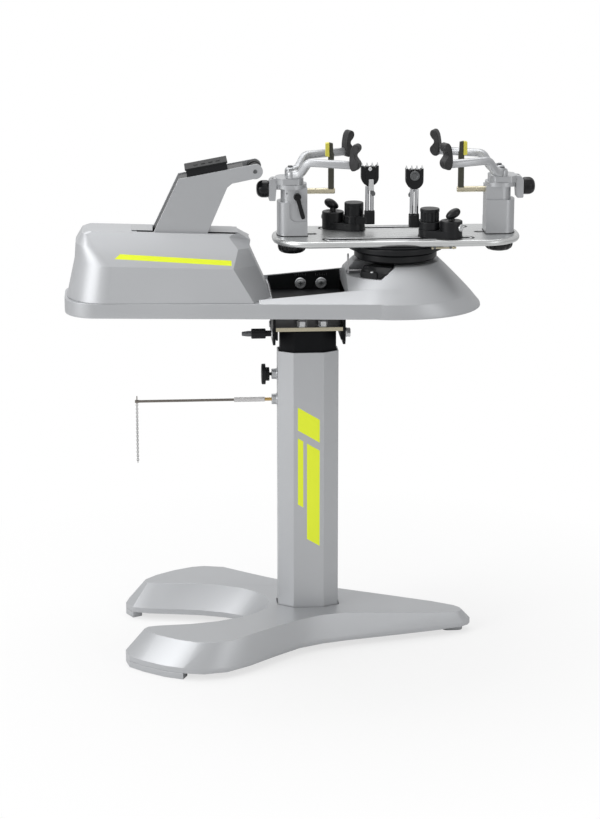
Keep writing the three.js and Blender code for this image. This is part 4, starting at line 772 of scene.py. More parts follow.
def socket_screw(draft, axis, radius, face, head, centre, way, sides=40):
    """A round head with an inner hexagon's rim, standing out of a face along an axis."""
    profile = [(radius, 0), (radius, head - 0.8), (radius - 0.8, head), (radius * 0.62, head),
               (radius * 0.56, head - 0.7), (radius * 0.5, head - 1.8)]
    return turned(draft, [(r, face + way * out) for r, out in profile], axis, centre, sides)


print("clamps", CLAMP_OUT, "mm from the hub")

# %% [markdown]
# The slider is a flat oval foot with a round lobe over the slot, which holds the side screw.

# %% Sliders
SWIVEL = (44.0, -21.0)
SCREW_TURN = -38.0


def build_slider(side):
    draft = Draft(clamp_place(side))
    prism(draft, stadium((0, 0), SWIVEL, 25.4), "z", PLATE_TOP + 0.3, 916.4)
    prism(draft, stadium((0, 0), SWIVEL, 24.0), "z", 916.0, 930.3)
    lobe = [(24, 929), (24, 949.8), (23.3, 951.4), (21.6, 952), (14.6, 952), (13.8, 951.2)]
    turned(draft, lobe, "z", (0, 0), 64)
    round_bar(draft, "z", 7.6, 901, 915, (0, 0))
    round_bar(draft, "z", 9, 929, 969, SWIVEL)
    draft.finish = 1
    draft.place = clamp_place(side) @ Matrix.Rotation(math.radians(SCREW_TURN), 4, "Z")
    socket_screw(draft, "x", 8, -20, 6.2, (0, 938.0), -1)
    screw_finish = bright_zinc if side == "right" else dark_steel
    return piece(f"{side}_slider_body", draft, [powder_black, screw_finish], f"{side}_clamp_base",
                 [f"{side}_clamp_slider"], edge=0.7)


# %% [markdown]
# The lock lever is an egg-shaped grip on a short stem. Its moulded skin has shallow rings, which give the
# fingers a hold.

# %% Lock levers
EGG_MIDDLE = (-3.0, 4.0, 966.6)
EGG_LENGTH, EGG_WIDTH, EGG_HEIGHT = 17.0, 11.4, 10.0
EGG_RINGS = 26
RING_DEPTH = 0.018


def build_egg(side):
    draft = Draft(clamp_place(side))
    lean = Matrix.Rotation(0.5, 3, "Y")
    rings = []
    for i in range(EGG_RINGS + 1):
        turn = math.pi * i / EGG_RINGS
        size = math.sin(turn) * (1.0 + 0.12 * math.cos(turn)) * (1.0 - RING_DEPTH * (i % 2))
        angles = circle(40) if 0 < i < EGG_RINGS else [0.0]
        ring = [(-EGG_LENGTH * math.cos(turn), EGG_WIDTH * size * math.cos(a), EGG_HEIGHT * size * math.sin(a))
                for a in angles]
        rings.append([tuple(Vector(EGG_MIDDLE) + lean @ Vector(point)) for point in ring])
    draft.skin(rings)
    turned(draft, [(7.4, 952.3), (7.8, 953.2), (6.6, 955), (5.6, 959), (5.8, 964)], "z", (-0.5, 1.0), 40)
    return piece(f"{side}_lock_lever_grip", draft, [smooth_black], f"{side}_clamp_knob",
                 [f"{side}_clamp_lock_lever"], edge=0)


# %% [markdown]
# The swivel arm turns on the slider's pin: a stepped drum, with a ribbed rim on the right clamp as in the
# picture, and a block that holds both posts.

# %% Swivel arms
POSTS = ((70.8, -40), (81.2, -40))


def build_swivel_arm(side):
    draft = Draft(clamp_place(side))
    turned(draft, [(22.6, 930.6), (23, 931.2), (23, 945.8), (22.2, 946.9)], "z", SWIVEL, 64)
    if side == "right":
        ribbed = [(19.6, 946, 1), (20.2, 948, 1), (20.2, 967.6, 1), (0, 967.7, 0)]
        turned(draft, ribbed, "z", SWIVEL, 140, flutes=14, depth=2.2, sharp=1.6)
        drum = [(20.6, 967.4), (21, 968.2), (21, 973.6), (20, 974.8), (0, 975)]
    else:
        drum = [(20.9, 946), (20.9, 965.4), (20.5, 965.8), (20.5, 966.4), (20.9, 966.8), (20.9, 973.4),
                (19.8, 974.8), (0, 975)]
    turned(draft, drum, "z", SWIVEL, 64)
    prism(draft, [(46, -49), (78, -49), (78, -29), (46, -29)], "z", 930.6, 946.4)
    prism(draft, filleted([(65.2, -50.8), (87, -50.8), (87, -29.2), (65.2, -29.2)], 4.5, 6), "z", 930.6, 958)
    draft.finish = 1
    for post in POSTS:
        round_bar(draft, "z", 4.3, 946, 1014, post, 36, 0.5)
    draft.finish = 2
    for post in POSTS:
        turned(draft, [(6.0, 957), (6.0, 959.2), (5.0, 960)], "z", post, 32)
    return piece(f"{side}_swivel_arm_body", draft, [powder_black, chrome, powder_black], f"{side}_clamp_arm",
                 [f"{side}_clamp_swivel_arm"], edge=0.7)


# %% [markdown]
# The head's two jaws are split above the foot. Four pointed teeth stand on each jaw. One side carries the round
# adjusting screw and the other the latch, whose hook reaches below the foot.

# %% Clamp heads
HEAD_MIDDLE = (76, -40, 0)
HEAD_HALF = 19
HEAD_ROUND = (0, 1014.3 + HEAD_HALF)
TOOTH_FOOT, TOOTH_POINT, TOOTH_HALF = 1056.6, 1066.0, 2.1
right_half = [(19, 1058.6), (15, 1058.6), (11.2, 1055.0), (7.4, 1057.6), (3.8, 1057.6)]
jaw_outline = (arc(HEAD_ROUND, HEAD_HALF, 180, 360, 16) + right_half + [(0, 1055.0)]
               + [(-x, z) for x, z in reversed(right_half)])


def build_clamp_head(side):
    draft = Draft(clamp_place(side) @ Matrix.Translation(Vector(HEAD_MIDDLE) * MM))
    for low, high in ((-9, -0.8), (0.8, 9)):
        prism(draft, jaw_outline, "y", low, high)
    prism(draft, arc(HEAD_ROUND, 18.4, 200, 340, 12) + [(17.4, 1040), (-17.4, 1040)], "y", -0.9, 0.9)
    prism(draft, filleted([(-9, 1024), (9, 1024), (11, 1050), (0, 1054, 2), (-11, 1050)], 2.5, 4), "y", -10.6, -8.8)
    draft.finish = 1
    for low, high in ((-8.2, -1.2), (1.2, 8.2)):
        for x in (-16.8, -5.6, 5.6, 16.8):
            left, right = x - TOOTH_HALF, x + TOOTH_HALF
            foot = level([(left, low), (right, low), (right, high), (left, high)], TOOTH_FOOT)
            draft.skin([foot, [(x, (low + high) / 2, TOOTH_POINT)]])
    draft.finish = 2
    socket_screw(draft, "y", 10.6, 8.6, 3.4, (0, 1043.6), 1, 48)
    draft.finish = 1
    turned(draft, [(3.4, -12.4), (4, -11.8), (4, -10.4)], "y", (0, 1052), 24)
    prism(draft, filleted([(-3.2, 1005.5), (7.8, 1005.5), (7.4, 1030), (-2.8, 1030)], 1.5, 4), "y", -14.4, -10.4)
    draft.finish = 2
    prism(draft, [(0.2, 1006), (7.6, 1006), (11.4, 1000), (10.6, 994.6), (4.4, 993.4), (1.0, 999)], "y", -14.0, -10.8)
    return piece(f"{side}_head_jaws", draft, [powder_black, bright_zinc, dark_steel], f"{side}_clamp_jaws",
                 [f"{side}_clamp_head"], edge=0.5)


for side in sides:
    build_slider(side)
    build_egg(side)
    build_swivel_arm(side)
    build_clamp_head(side)
print("two clamps of four pieces each")
# %% [markdown]
# ## The tension head's cover
# The cover is one moulding: a sloping front, a shoulder, a narrow flat top with the arm's slot, and facets at
# its right end. Outlines at six heights are joined by one skin, whose left end is finely rounded.
# `carved` cuts one form out of a piece and keeps only the result. It draws the form in a draft of its own with
# the function it's given, such as `block`, and that function's sizes.

# %% Cutting one form out of a piece
def carved(made, shape, *sizes):
    draft = Draft()
    shape(draft, *sizes)
    bmesh.ops.recalc_face_normals(draft.mesh, faces=draft.mesh.faces)
    tool_mesh = bpy.data.meshes.new("cutting_tool")
    draft.mesh.to_mesh(tool_mesh)
    draft.mesh.free()
    tool = bpy.data.objects.new("cutting_tool", tool_mesh)
    bpy.context.scene.collection.objects.link(tool)
    boolean = made.modifiers.new("cut", "BOOLEAN")
    boolean.object = tool
    boolean.operation = "DIFFERENCE"
    boolean.solver = "EXACT"
    made.modifiers.move(len(made.modifiers) - 1, 0)
    others = made.modifiers[1:]
    for modifier in others:
        modifier.show_viewport = False
    bpy.context.view_layer.update()
    result = bpy.data.meshes.new_from_object(made.evaluated_get(bpy.context.evaluated_depsgraph_get()))
    for modifier in others:
        modifier.show_viewport = True
    made.modifiers.remove(boolean)
    made.data = result
    bpy.data.objects.remove(tool)
    return made


# %% [markdown]
# The stripe on the cover's front is ten millimetres high, falls slightly to the right and starts on a slant.
# The list of levels gives for each its height at the middle of the cover, how it falls along x, its left end,
# how round that end is, its half width, the three points of its right end, and how much lower these lie.
# The last number is the share of the wall's thickness by which the inside is lower.

# %% The cover's stripe and levels
def cover_stripe(x, y, z):
    height = z - (x * -0.07 + 853.5)
    slant = x - height * 1.2
    return (height > 0.0) * (height < 10.0) * (slant > -416.0) * (x < -168.0) * (y < -60.0)


cover_paint = silver_paint("silver_cover_with_stripe", 0.42, 0.42, cover_stripe)
COVER_MIDDLE = -320
TOP_FALL = 0.037
COVER_WALL = 4
EVEN = (0.0, 0.0, 0.0)
COVER_LEVELS = [
    (790.3, 0.0, -520, 95, 106, [(-83, 0), (-83, 58), (-122, 124)], EVEN, 0.0),
    (864.0, TOP_FALL, -502, 82, 95, [(-112, 0), (-112, 46), (-164.5, 95)], EVEN, 0.2),
    (884.0, TOP_FALL, -500.5, 63, 82, [(-121, 0), (-121, 48), (-158.5, 82)], EVEN, 0.4),
    (902.0, TOP_FALL, -499, 42, 68, [(-129, 0), (-129, 50), (-153.5, 70)], EVEN, 0.6),
    (925.0, TOP_FALL, -485, 15, 50, [(-128, 0), (-125, 30), (-172, 50)], (6.0, 9.0, 0.0), 0.9),
    (930.0, TOP_FALL, -472, 10, 46, [(-150, 0), (-150, 24), (-163, 46)], EVEN, 1.0),
]
print("cover paint with one stripe, and", len(COVER_LEVELS), "levels")


# %% The cover
def cover_ring(levels, wall):
    height, fall, left, round_left, half, right, dips, lower = levels

    def lifted(x, y, dip=0.0):
        return x, y, height - wall * lower - fall * (x - COVER_MIDDLE) - dip

    inner_half = half - wall
    radius = max(round_left - wall, 2)
    front = [lifted(x - wall, -max(y - wall, 0), dip) for (x, y), dip in zip(right, dips)]
    front += [lifted(x, -y) for x, y in arc((left + wall + radius, inner_half - radius), radius, 90, 172, 22)]
    rear = [(x, -y, z) for x, y, z in reversed(front[1:])]
    return [*front, lifted(left + wall, 0), *rear]


def build_cover():
    draft = Draft()
    outer = [cover_ring(levels, 0) for levels in COVER_LEVELS]
    inner = [cover_ring(levels, COVER_WALL) for levels in COVER_LEVELS]
    for finish, rings in ((0, outer), (1, inner)):
        draft.finish = finish
        draft.skin(rings, caps=False)
        draft.face([draft.point(*p) for p in rings[-1]])
    draft.skin([outer[0], inner[0]], caps=False)
    made = piece("tension_cover", draft, [cover_paint, grained_black], "machine_body", ["tension_housing"], edge=1.6,
                 angle=14.0, segments=3)
    carved(made, block, (-368, -157), (-37.8, 37.8), (876, 950))
    return carved(made, block, (-464.3, -415.7), (80, 130), (803.7, 832.3))


build_cover()
print("the cover, with its slot and the socket's opening")

# %% [markdown]
# A thin lid slides on the cover with the arm, so that dust and fingers stay out of the slot.

# %% Slot lid
LID_HALF = 31


def build_slot_lid():
    draft = Draft()
    for low, high in ((-379, -334), (-217, -152)):
        corners = ((low, -LID_HALF), (high, -LID_HALF), (high, LID_HALF), (low, LID_HALF))
        draft.skin([[(x, y, z - TOP_FALL * (x - COVER_MIDDLE)) for x, y in corners] for z in (931.2, 932.4)])
    return piece("slot_lid", draft, [silver_metal], "carriage", edge=0.3)


build_slot_lid()
print("slot lid")

# %% [markdown]
# The arm is two silver side plates over a black core. The core stops short of the nose, where the string
# gripper turns between the plates. The control panel on its back keeps its CAD shape, in black plastic.

# %% Tension arm
ARM_HALF = 37.0
ARM_PLATE = 3.0
ARM_FOOT = 840.3
NOSE = (-114.5, 1058.0)
NOSE_ROUND = 16.6


def arm_outline(shrink, nose=True):
    tip = arc(NOSE, NOSE_ROUND - shrink, 78, -102, 20) if nose else [(-139, 1069.4 - shrink), (-139, 1037.4 + shrink)]
    return [(-375 + shrink, ARM_FOOT), (-277 + shrink, 1044 - shrink), *tip, (-163.5, 1032.5 + shrink),
            (-174 - shrink / 2, 1024), (-254 - shrink, ARM_FOOT)]


def build_arm():
    draft = Draft()
    core = ARM_HALF - ARM_PLATE
    for low, high in ((-ARM_HALF, -core), (core, ARM_HALF)):
        prism(draft, arm_outline(0), "y", low, high)
    draft.finish = 1
    prism(draft, arm_outline(1.8, nose=False), "y", -core, core)
    draft.finish = 2
    pin = [(4.6, 36.8), (4.6, 37.6), (4.0, 38.2), (2.0, 38.2), (1.8, 37.4)]
    for way in (-1, 1):
        turned(draft, [(radius, way * y) for radius, y in pin], "y", NOSE, 32)
    return piece("tension_arm_plates", draft, [silver_metal, smooth_black, dark_steel], "carriage", ["tension_arm"],
                 edge=0.5)


build_arm()
print("tension arm")
# %% [markdown]
# ## The body
# The lower shell is a long tray whose right end swells into the cone under the turntable. From the front its
# band is upright, while at its nose the cone runs out to the bottom edge in one line. Every level of the cone
# is a slightly squared oval, so both ends of that change come from one table of heights, reaches to the right
# and half widths. The shell's table adds how far its lowest edges are rounded in.

# %% Levels of the cone and the shell
CONE_LEVELS = [(757.3, 183.0, 160.0), (758.6, 185.0, 161.4), (762.0, 184.4, 161.8), (770.0, 177.6, 161.2),
               (780.0, 169.6, 160.2), (789.0, 161.6, 159.0), (791.0, 160.0, 157.4), (800.0, 151.6, 149.6),
               (810.0, 142.2, 141.0), (820.5, 132.2, 131.6), (830.0, 123.0, 122.8), (839.0, 114.0, 114.0),
               (849.0, 103.8, 103.8), (856.4, 96.2, 96.2), (858.0, 93.4, 93.4)]
SHELL_LEVELS = [(757.3, 182.6, 159.6, 1.6), (758.8, 184.4, 160.8, 0.4), (762.0, 184.0, 161.4, 0.0),
                (770.0, 177.2, 160.8, 0.0), (780.0, 169.2, 159.8, 0.0), (789.9, 160.4, 158.0, 0.0)]
SQUARED = 2.2
SHELL_LEFT = -455
TRAY_HALF = 118.0


def oval(reach, half, start=0.0, end=360.0, steps=96):
    points = []
    for i in range(steps + 1):
        a = math.radians(start + (end - start) * i / steps)
        length = reach if math.cos(a) > 0 else half
        points.append((HUB_X + length * math.copysign(abs(math.cos(a)) ** (2 / SQUARED), math.cos(a)),
                       half * math.copysign(abs(math.sin(a)) ** (2 / SQUARED), math.sin(a))))
    return points


def left_end(away, radius, steps):
    return arc((SHELL_LEFT, away), radius, 94, 180, steps) + arc((SHELL_LEFT, -away), radius, 180, 266, steps)


def shell_ring(z, reach, half, inset):
    return level(oval(reach - inset, half - inset, -90, 90, 64) + left_end(33, 70 - inset, 16), z)


def build_shell():
    draft = Draft()
    draft.skin([shell_ring(*sizes) for sizes in SHELL_LEVELS])
    made = piece("body_lower_shell", draft, [silver_cover], "machine_body", ["body_shell"], edge=1.0, angle=25.0)
    carved(made, block, (-81, 80), (-TRAY_HALF, TRAY_HALF), (763, 800))
    works = left_end(25, 62, 12) + [(-132, -TRAY_HALF), (-132, TRAY_HALF)]
    return carved(made, prism, works, "z", 764, 800)


def ring_sector(inner, outer, start, end, steps=(24, 12)):
    """Part of a flat ring round the turntable's axis, between two angles."""
    return arc((HUB_X, 0), outer, start, end, steps[0]) + arc((HUB_X, 0), inner, end, start, steps[1])


def build_cone():
    draft = Draft()
    draft.skin([level(oval(reach, half)[:-1], z) for z, reach, half in CONE_LEVELS])
    made = piece("hub_cone", draft, [silver_cover], "machine_body", edge=1.0, angle=28.0)
    carved(made, block, (0, 80), (-TRAY_HALF, TRAY_HALF), (763, 870))
    recess = [level(ring_sector(35, 124, 196, end), z) for z, end in ((834, 250), (860, 265), (880, 265))]
    carved(made, Draft.skin, recess)
    return carved(made, round_bar, "z", 40.6, 763, 880, (HUB_X, 0), 64, 0.1)


build_shell()
build_cone()
print("lower shell and cone")

# %% [markdown]
# The rails beside the tray are wedges: their inner edge climbs from the cover to the cone and their outer face
# falls to the shell's seam, so it catches the light from above.

# %% Rails
def shell_half(x):
    return 103 + (x - SHELL_LEFT) * (158.6 - 103) / (HUB_X - SHELL_LEFT)


def cone_half(x, z):
    """How far the cone reaches from the middle plane, at one place along the machine and one height."""
    heights, reaches, halves = zip(*CONE_LEVELS)
    half = np.interp(z, heights, halves)
    length = np.interp(z, heights, reaches) if x > HUB_X else half
    return half * (1 - (abs(x - HUB_X) / length) ** SQUARED) ** (1 / SQUARED)


def rail_top(x):
    return 797.5 + (x + 100) * 0.0833 if x < 80 else 812.5 + (x - 80) * 0.08


def rail_ring(x, way):
    top = rail_top(x)
    proud = np.interp(x, (180, 225), (0.8, -1.2))
    ridge = max(119.6, cone_half(x, top) + proud)
    outer = min(shell_half(x), 158.0) - 0.5 if x < HUB_X else cone_half(x, 790.2) + proud - 0.8
    return [(x, way * y, z) for y, z in ((TRAY_HALF, 789.4), (TRAY_HALF, min(top, 815.0)), (ridge, top),
                                         (outer, 790.2), (outer, 789.4))]


def build_rail(side):
    way = -1 if side == "front" else 1
    draft = Draft()
    draft.skin([rail_ring(x, way) for x in (-112, -60, 0, 50, 80, *range(110, 181, 10), 195, 210, 230)])
    return piece(f"{side}_tray_rail", draft, [silver_cover], "machine_body", edge=0.8, angle=14.0)


for rail_side in ("front", "rear"):
    build_rail(rail_side)
print("two rails")

# %% [markdown]
# The tray is lined in black up to the rails. Two bright discs sit on its rear wall. Each has a flat dark cross
# on its face, painted shade for a cross recess, and a small printed scale above it.

# %% Tray
DISC_LEVEL = 780


def build_tray():
    draft = Draft()
    prism(draft, [(-80.4, 766), (79.4, 766), (79.4, 811.0), (-80.4, 797.6)], "y", 115.2, 117.6)
    prism(draft, [(-80.4, -117.4), (79.4, -117.4), (79.4, 117.4), (-80.4, 117.4)], "z", 764.4, 766.2)
    prism(draft, [(-80.6, 764.6), (-78.8, 764.6), (-78.8, 788.6), (-80.6, 788.6)], "y", -117.4, 117.4)
    return piece("tray_lining", draft, [grained_black], "machine_body", ["tray_liner"], edge=0.3)


def build_tray_disc(side, x):
    draft = Draft()
    disc = [(12.5, 115.0), (12.5, 112.6), (11.4, 111.4), (9.4, 111.0), (8.9, 111.6), (8.2, 111.6),
            (7.7, 111.0), (5.6, 110.4), (0, 110.2)]
    turned(draft, disc, "y", (x, DISC_LEVEL), 56)
    draft.finish = 1
    # The dark cross lies on the disc's face and is not cut in: painted shade for a cross recess.
    for half_x, half_z in ((4.6, 1.3), (1.3, 4.6)):
        block(draft, (x - half_x, x + half_x), (109.9, 110.8), (DISC_LEVEL - half_z, DISC_LEVEL + half_z))
    for k in range(-3, 4):
        line = x + k * 4.0
        block(draft, (line - 0.5, line + 0.5), (114.6, 115.3), (796.5, 802.0 if k % 2 else 800.0))
    return piece(f"{side}_disc_with_painted_recess_shade", draft, [bright_zinc, dark_steel], "machine_body",
                 [f"tray_disc_{side}"], edge=0.25)


build_tray()
build_tray_disc("left", -8)
build_tray_disc("right", 38)
print("tray lining and two discs")

# %% [markdown]
# The brake's casing fills the recess under the disc, and its right end slants with the recess. A ledge in front
# of it carries the bright head of the pin for the brake lever.

# %% Brake casing
PIN_REACH, PIN_ANGLE = 114, math.radians(238)


def build_brake():
    draft = Draft()
    draft.skin([level(ring_sector(42, reach, end, 222, (12, 12)), z)
                for z, reach, end in ((834.2, 112, 247), (846, 112, 255), (850, 106, 257), (857.4, 100, 261))])
    prism(draft, ring_sector(90, 116, 244, 224, (8, 8)), "z", 834.4, 847.4)
    draft.finish = 1
    pin = (HUB_X + PIN_REACH * math.cos(PIN_ANGLE), PIN_REACH * math.sin(PIN_ANGLE))
    turned(draft, [(3.4, 847.2), (3.4, 849), (2.8, 849.6)], "z", pin, 24)
    return piece("brake_casing", draft, [powder_black, bright_zinc], "machine_body", edge=0.8)


build_brake()
print("brake casing")
# %% [markdown]
# ## The turntable
# The plate is cut from an aluminium bar with round ends. Its edges are rounded over: `PLATE_EDGE` gives the inset
# at each height. Each clamp slot has a raised rail on both sides in a shallow groove. A black strip in the groove
# is painted shade, and the slot's walls are lined in the same black. The towers' studs run in a short slot at each
# end.

# %% Turntable plate
PLATE_CORNER = 84
CORNER_REACH, CORNER_WIDTH = 184, 9
PLATE_EDGE = [(900.0, 4.5), (901.2, 2.2), (904.0, 0.5), (907.0, 0.0), (909.4, 0.3), (912.2, 1.6), (913.5, 3.4),
              (PLATE_TOP, 5.4)]
SLOT_REACH = HUB_X - 45.0


def plate_outline(shrink):
    outline = []
    for way_x, way_y, start in ((-1, 1, 90), (-1, -1, 180), (1, -1, 270), (1, 1, 0)):
        corner = (HUB_X + way_x * CORNER_REACH, way_y * CORNER_WIDTH)
        outline += arc(corner, PLATE_CORNER - shrink, start, start + 90, 24)
    return outline


def slot_outline(way, half):
    return stadium((HUB_X - SLOT_REACH, way * CLAMP_BACK), (HUB_X + SLOT_REACH, way * CLAMP_BACK), half)


def build_plate():
    draft = Draft()
    draft.skin([level(plate_outline(shrink), z) for z, shrink in PLATE_EDGE])
    made = piece("slotted_plate", draft, [anodised], "turntable", ["turntable_plate"], edge=0.35, angle=30.0)
    for way in (-1, 1):
        stud = stadium((HUB_X + way * 180, 0), (HUB_X + way * 227, 0), 9.0)
        for outline, low in ((slot_outline(way, 18.5), PLATE_TOP - 2.4), (slot_outline(way, 8.0), 880), (stud, 880)):
            carved(made, prism, outline, "z", low, 930)
    return made


def build_plate_rails():
    draft = Draft()
    rail = ((13.0, 911.5), (13.0, 913.4), (12.4, PLATE_TOP), (8.8, PLATE_TOP), (8.2, 913.4), (8.2, 911.5))
    # The black strip at the bottom of the groove is painted shade.
    painted_groove_shade = ((18.3, 911.7), (13.2, 911.7), (13.2, 912.0), (18.3, 912.0))
    wall = ((8.15, 900.4), (7.8, 900.4), (7.8, 912.8), (8.15, 912.8))
    for finish, sections in ((0, [rail]), (1, [painted_groove_shade, wall])):
        draft.finish = finish
        for way in (-1, 1):
            for section in sections:
                draft.tube([level(slot_outline(way, half), z) for half, z in section])
    plain_disc(draft, "z", 102, 897.8, 900.2, (HUB_X, 0), 96)
    return piece("slot_rails", draft, [anodised, powder_black], "turntable", edge=0.2)


build_plate()
build_plate_rails()
print("plate with two slots and their rails")

# %% [markdown]
# Below the front edge lies the release pin of the turntable's lock, turned in steps and zinc plated.

# %% Release pin
def build_release_pin():
    draft = Draft()
    profile = [(2.6, 259), (3.0, 259.6), (3.0, 263), (2.2, 263.6), (2.2, 305), (2.9, 305.6), (2.9, 308.4),
               (2.3, 309), (2.3, 311), (1.6, 312.4)]
    turned(draft, profile, "x", (-86, 896.8), 32)
    draft.finish = 1
    for x in (266.0, 300.0):
        block(draft, (x - 2.2, x + 2.2), (-88.4, -81), (895.0, 900.6))
    return piece("release_pin", draft, [zinc, dark_steel], "turntable", edge=0.2)


build_release_pin()
print("release pin")
# %% [markdown]
# ## The column
# The outer column is a flattened octagon, and its flats stay crisp. Its front carries plain lime bars with
# slanted ends, printed on the paint. Two round bosses on its left hold the lock knob and the reel rod.

# %% Column tube
def column_bars(x, y, z):
    slant = z + x * 0.6
    upper = (slant > 470.0) * (slant < 522.0) * (x > -24.0) * (x < 24.0)
    long_bar = (slant > 232.0) * (slant < 452.0) * (x > -4.0) * (x < 24.0)
    thin_bar = (slant > 300.0) * (slant < 452.0) * (x > -24.0) * (x < -12.0)
    return (upper + long_bar + thin_bar) * (y < -30.0)


column_paint = silver_paint("silver_column_with_bars", 0.42, 0.42, column_bars)
BOSS_LEVEL, ROD_HEIGHT = 603, 546


def octagon(width, depth):
    flat, side = width / 4, depth / 4
    half = [(flat, -depth / 2), (width / 2, -side), (width / 2, side), (flat, depth / 2)]
    return half + [(-x, y) for x, y in reversed(half)]


def build_column():
    draft = Draft()
    outer, inner = octagon(133, 80), octagon(127, 74)
    draft.tube([level(outer, 34), level(outer, 659), level(inner, 659), level(inner, 34)])
    return piece("column_tube", draft, [column_paint], "stand", ["outer_column"], edge=0.9, angle=20.0)


def build_bosses():
    draft = Draft()
    boss = [(0, -62), (15.6, -66.2), (13.6, -67.2), (12.3, -68.8), (11.6, -71.4), (11.5, -78.2), (10.8, -79)]
    for z in (BOSS_LEVEL, ROD_HEIGHT):
        turned(draft, boss, "x", (0, z), 56)
    return piece("column_bosses", draft, [silver_metal], "stand", edge=0)


def build_inner_column():
    draft = Draft()
    draft.skin([level(octagon(122.7, 69.7), z) for z in (390, 711.8)])
    return piece("inner_tube", draft, [tube_black], "column", ["inner_column"], edge=0.8, angle=20.0)


build_column()
build_bosses()
build_inner_column()
print("outer column, its bosses and inner column")

# %% [markdown]
# ## The head of the column
# A black channel carries the body. Only its front bar is zinc plated, and four bright hexagon heads stand on
# it. The tilt bracket is a plain black U turned upside down over it.

# %% Head plate and bracket
def build_head_plate():
    draft = Draft()
    half = 72.5
    block(draft, (-half, half), (-59.4, 60), (712, 720))
    for low, high in ((-half, -half + 4.5), (half - 4.5, half)):
        block(draft, (low, high), (-59.4, 60), (692, 713))
    draft.finish = 1
    block(draft, (-half, half), (-60, -57), (711.8, 720.2))
    draft.finish = 2
    for x in (-15, 31):
        for y in (-46, 46):
            plain_disc(draft, "z", 11.4, 719.8, 721.4, (x, y))
            turned(draft, [(11.0, 721.2), (11.0, 731.6), (9.6, 733.0)], "z", (x, y), 6)
    return piece("head_channel", draft, [tube_black, zinc, bright_zinc], "column", ["head_plate"], edge=0.4)


def build_bracket():
    draft = Draft()
    inner, outer, back = 73.1, 78.6, 60
    legs = [(-back, 756.7), (-back, 691), (-back + 8, 680), (back - 8, 680), (back, 691), (back, 756.7)]
    for low, high in ((-outer, -inner), (inner, outer)):
        prism(draft, legs, "x", low, high)
    block(draft, (-outer + 0.2, outer - 0.2), (-back, back), (750.7, 756.6))
    draft.finish = 1
    for x in (-14, 32):
        for y in (-43, 43):
            turned(draft, [(6, 751), (6, 748.6), (5, 747.8)], "z", (x, y), 32)
    return piece("tilt_bracket_channel", draft, [tube_black, dark_steel], "machine_body", ["tilt_bracket"], edge=0.6)


build_head_plate()
build_bracket()
print("head channel and tilt bracket")

# %% [markdown]
# The tilt handle has a grey tip, a black grip and a zinc washer. A bright hexagon bolt closes the other side.

# %% Tilt clamp
TILT = (-44, 705)


def build_tilt_handle():
    draft = Draft()
    grip = [(10.0, -125, 0), (11.0, -123.8, 1), (11.0, -95.2, 1), (10.0, -94, 0)]
    turned(draft, grip, "x", TILT, 96, flutes=12, depth=0.7)
    plain_disc(draft, "x", 6.5, -94.5, -82.2, TILT)
    draft.finish = 1
    tip = [(3.6, -145.6), (4.6, -144.8), (6.1, -133), (6.3, -125.2), (6.3, -124.4)]
    turned(draft, tip, "x", TILT, 40)
    draft.finish = 2
    turned(draft, [(10.2, -82.2), (10.5, -81.8), (10.5, -79.2)], "x", TILT)
    plain_disc(draft, "x", 5, -79.4, -68.4, TILT, 32)
    return piece("tilt_handle_grip", draft, [grained_black, dark_steel, bright_zinc], "tilt_handle",
                 ["tilt_clamp_handle"], edge=0.3)


def build_tilt_bolt():
    draft = Draft()
    turned(draft, [(10.5, 78.9), (10.5, 81.6), (10.2, 81.9)], "x", TILT)
    turned(draft, [(10.3, 81.6), (10.3, 88.6), (9.2, 89.8)], "x", TILT, 6)
    plain_disc(draft, "x", 5, 79, 68.4, TILT, 32)
    return piece("tilt_bolt_head", draft, [bright_zinc], "column", ["tilt_clamp_bolt"], edge=0.4)


build_tilt_handle()
build_tilt_bolt()
print("tilt clamp")

# %% [markdown]
# ## The reel rod
# The string reel hangs on a steel rod. A knurled sleeve of pale metal turns on it beside the boss, and a short
# length of brass thread shows between them.

# %% Rod, sleeve and thread
oiled_steel = worked_metal("oiled_steel", (0.22, 0.2, 0.18), 0.3, along_x, metallic=0.9)
chain_steel = worked_metal("chain_steel", (0.07, 0.07, 0.07), 0.4, along_z, metallic=0.6)
knurled = worked_metal("knurled_aluminium", (0.74, 0.73, 0.73), 0.34, no_direction, lines=500.0, metallic=0.7)
ROD = (0, ROD_HEIGHT)
CHAIN_X = -374


def build_reel_rod():
    draft = Draft()
    round_bar(draft, "x", 2.9, -378, -93.7, ROD, 32, 0.5)
    turned(draft, [(3.4, -378.4), (3.4, -370), (2.9, -369.4)], "x", ROD, 32)
    draft.finish = 1
    turns = thread(-94, 26, pitch=1.05, first=3.3, second=4.0, step=0.52)
    turned(draft, [(0, -94), *turns, (0, -66.8)], "x", ROD, 32)
    draft.finish = 0
    turned(draft, [(1.2, 540.7), (1.2, 557.4), (0.8, 558)], "z", (CHAIN_X, 0), 20)
    return piece("reel_rod_bar", draft, [oiled_steel, brass], "stand", ["reel_rod"], edge=0)


def build_sleeve():
    draft = Draft()
    sleeve = [(4.6, -161.6, 0), (5.2, -161.0, 1), (5.2, -95.0, 1), (4.6, -94.4, 0)]
    turned(draft, sleeve, "x", ROD, 144, flutes=24, depth=0.35)
    return piece("reel_sleeve", draft, [knurled], "stand", ["reel_rod_sleeve"], edge=0)


build_reel_rod()
build_sleeve()
print("reel rod and sleeve")

# %% [markdown]
# The chain is thirty small links of round wire, each turned a quarter against the next, so that every link hangs
# in the one above it.

# %% Chain
LINKS = 30
LINK_PITCH = 4.45
LINK_HALF = 3.45
BEND = 1.93
WIRE = 0.62
CHAIN_TOP = 541.2


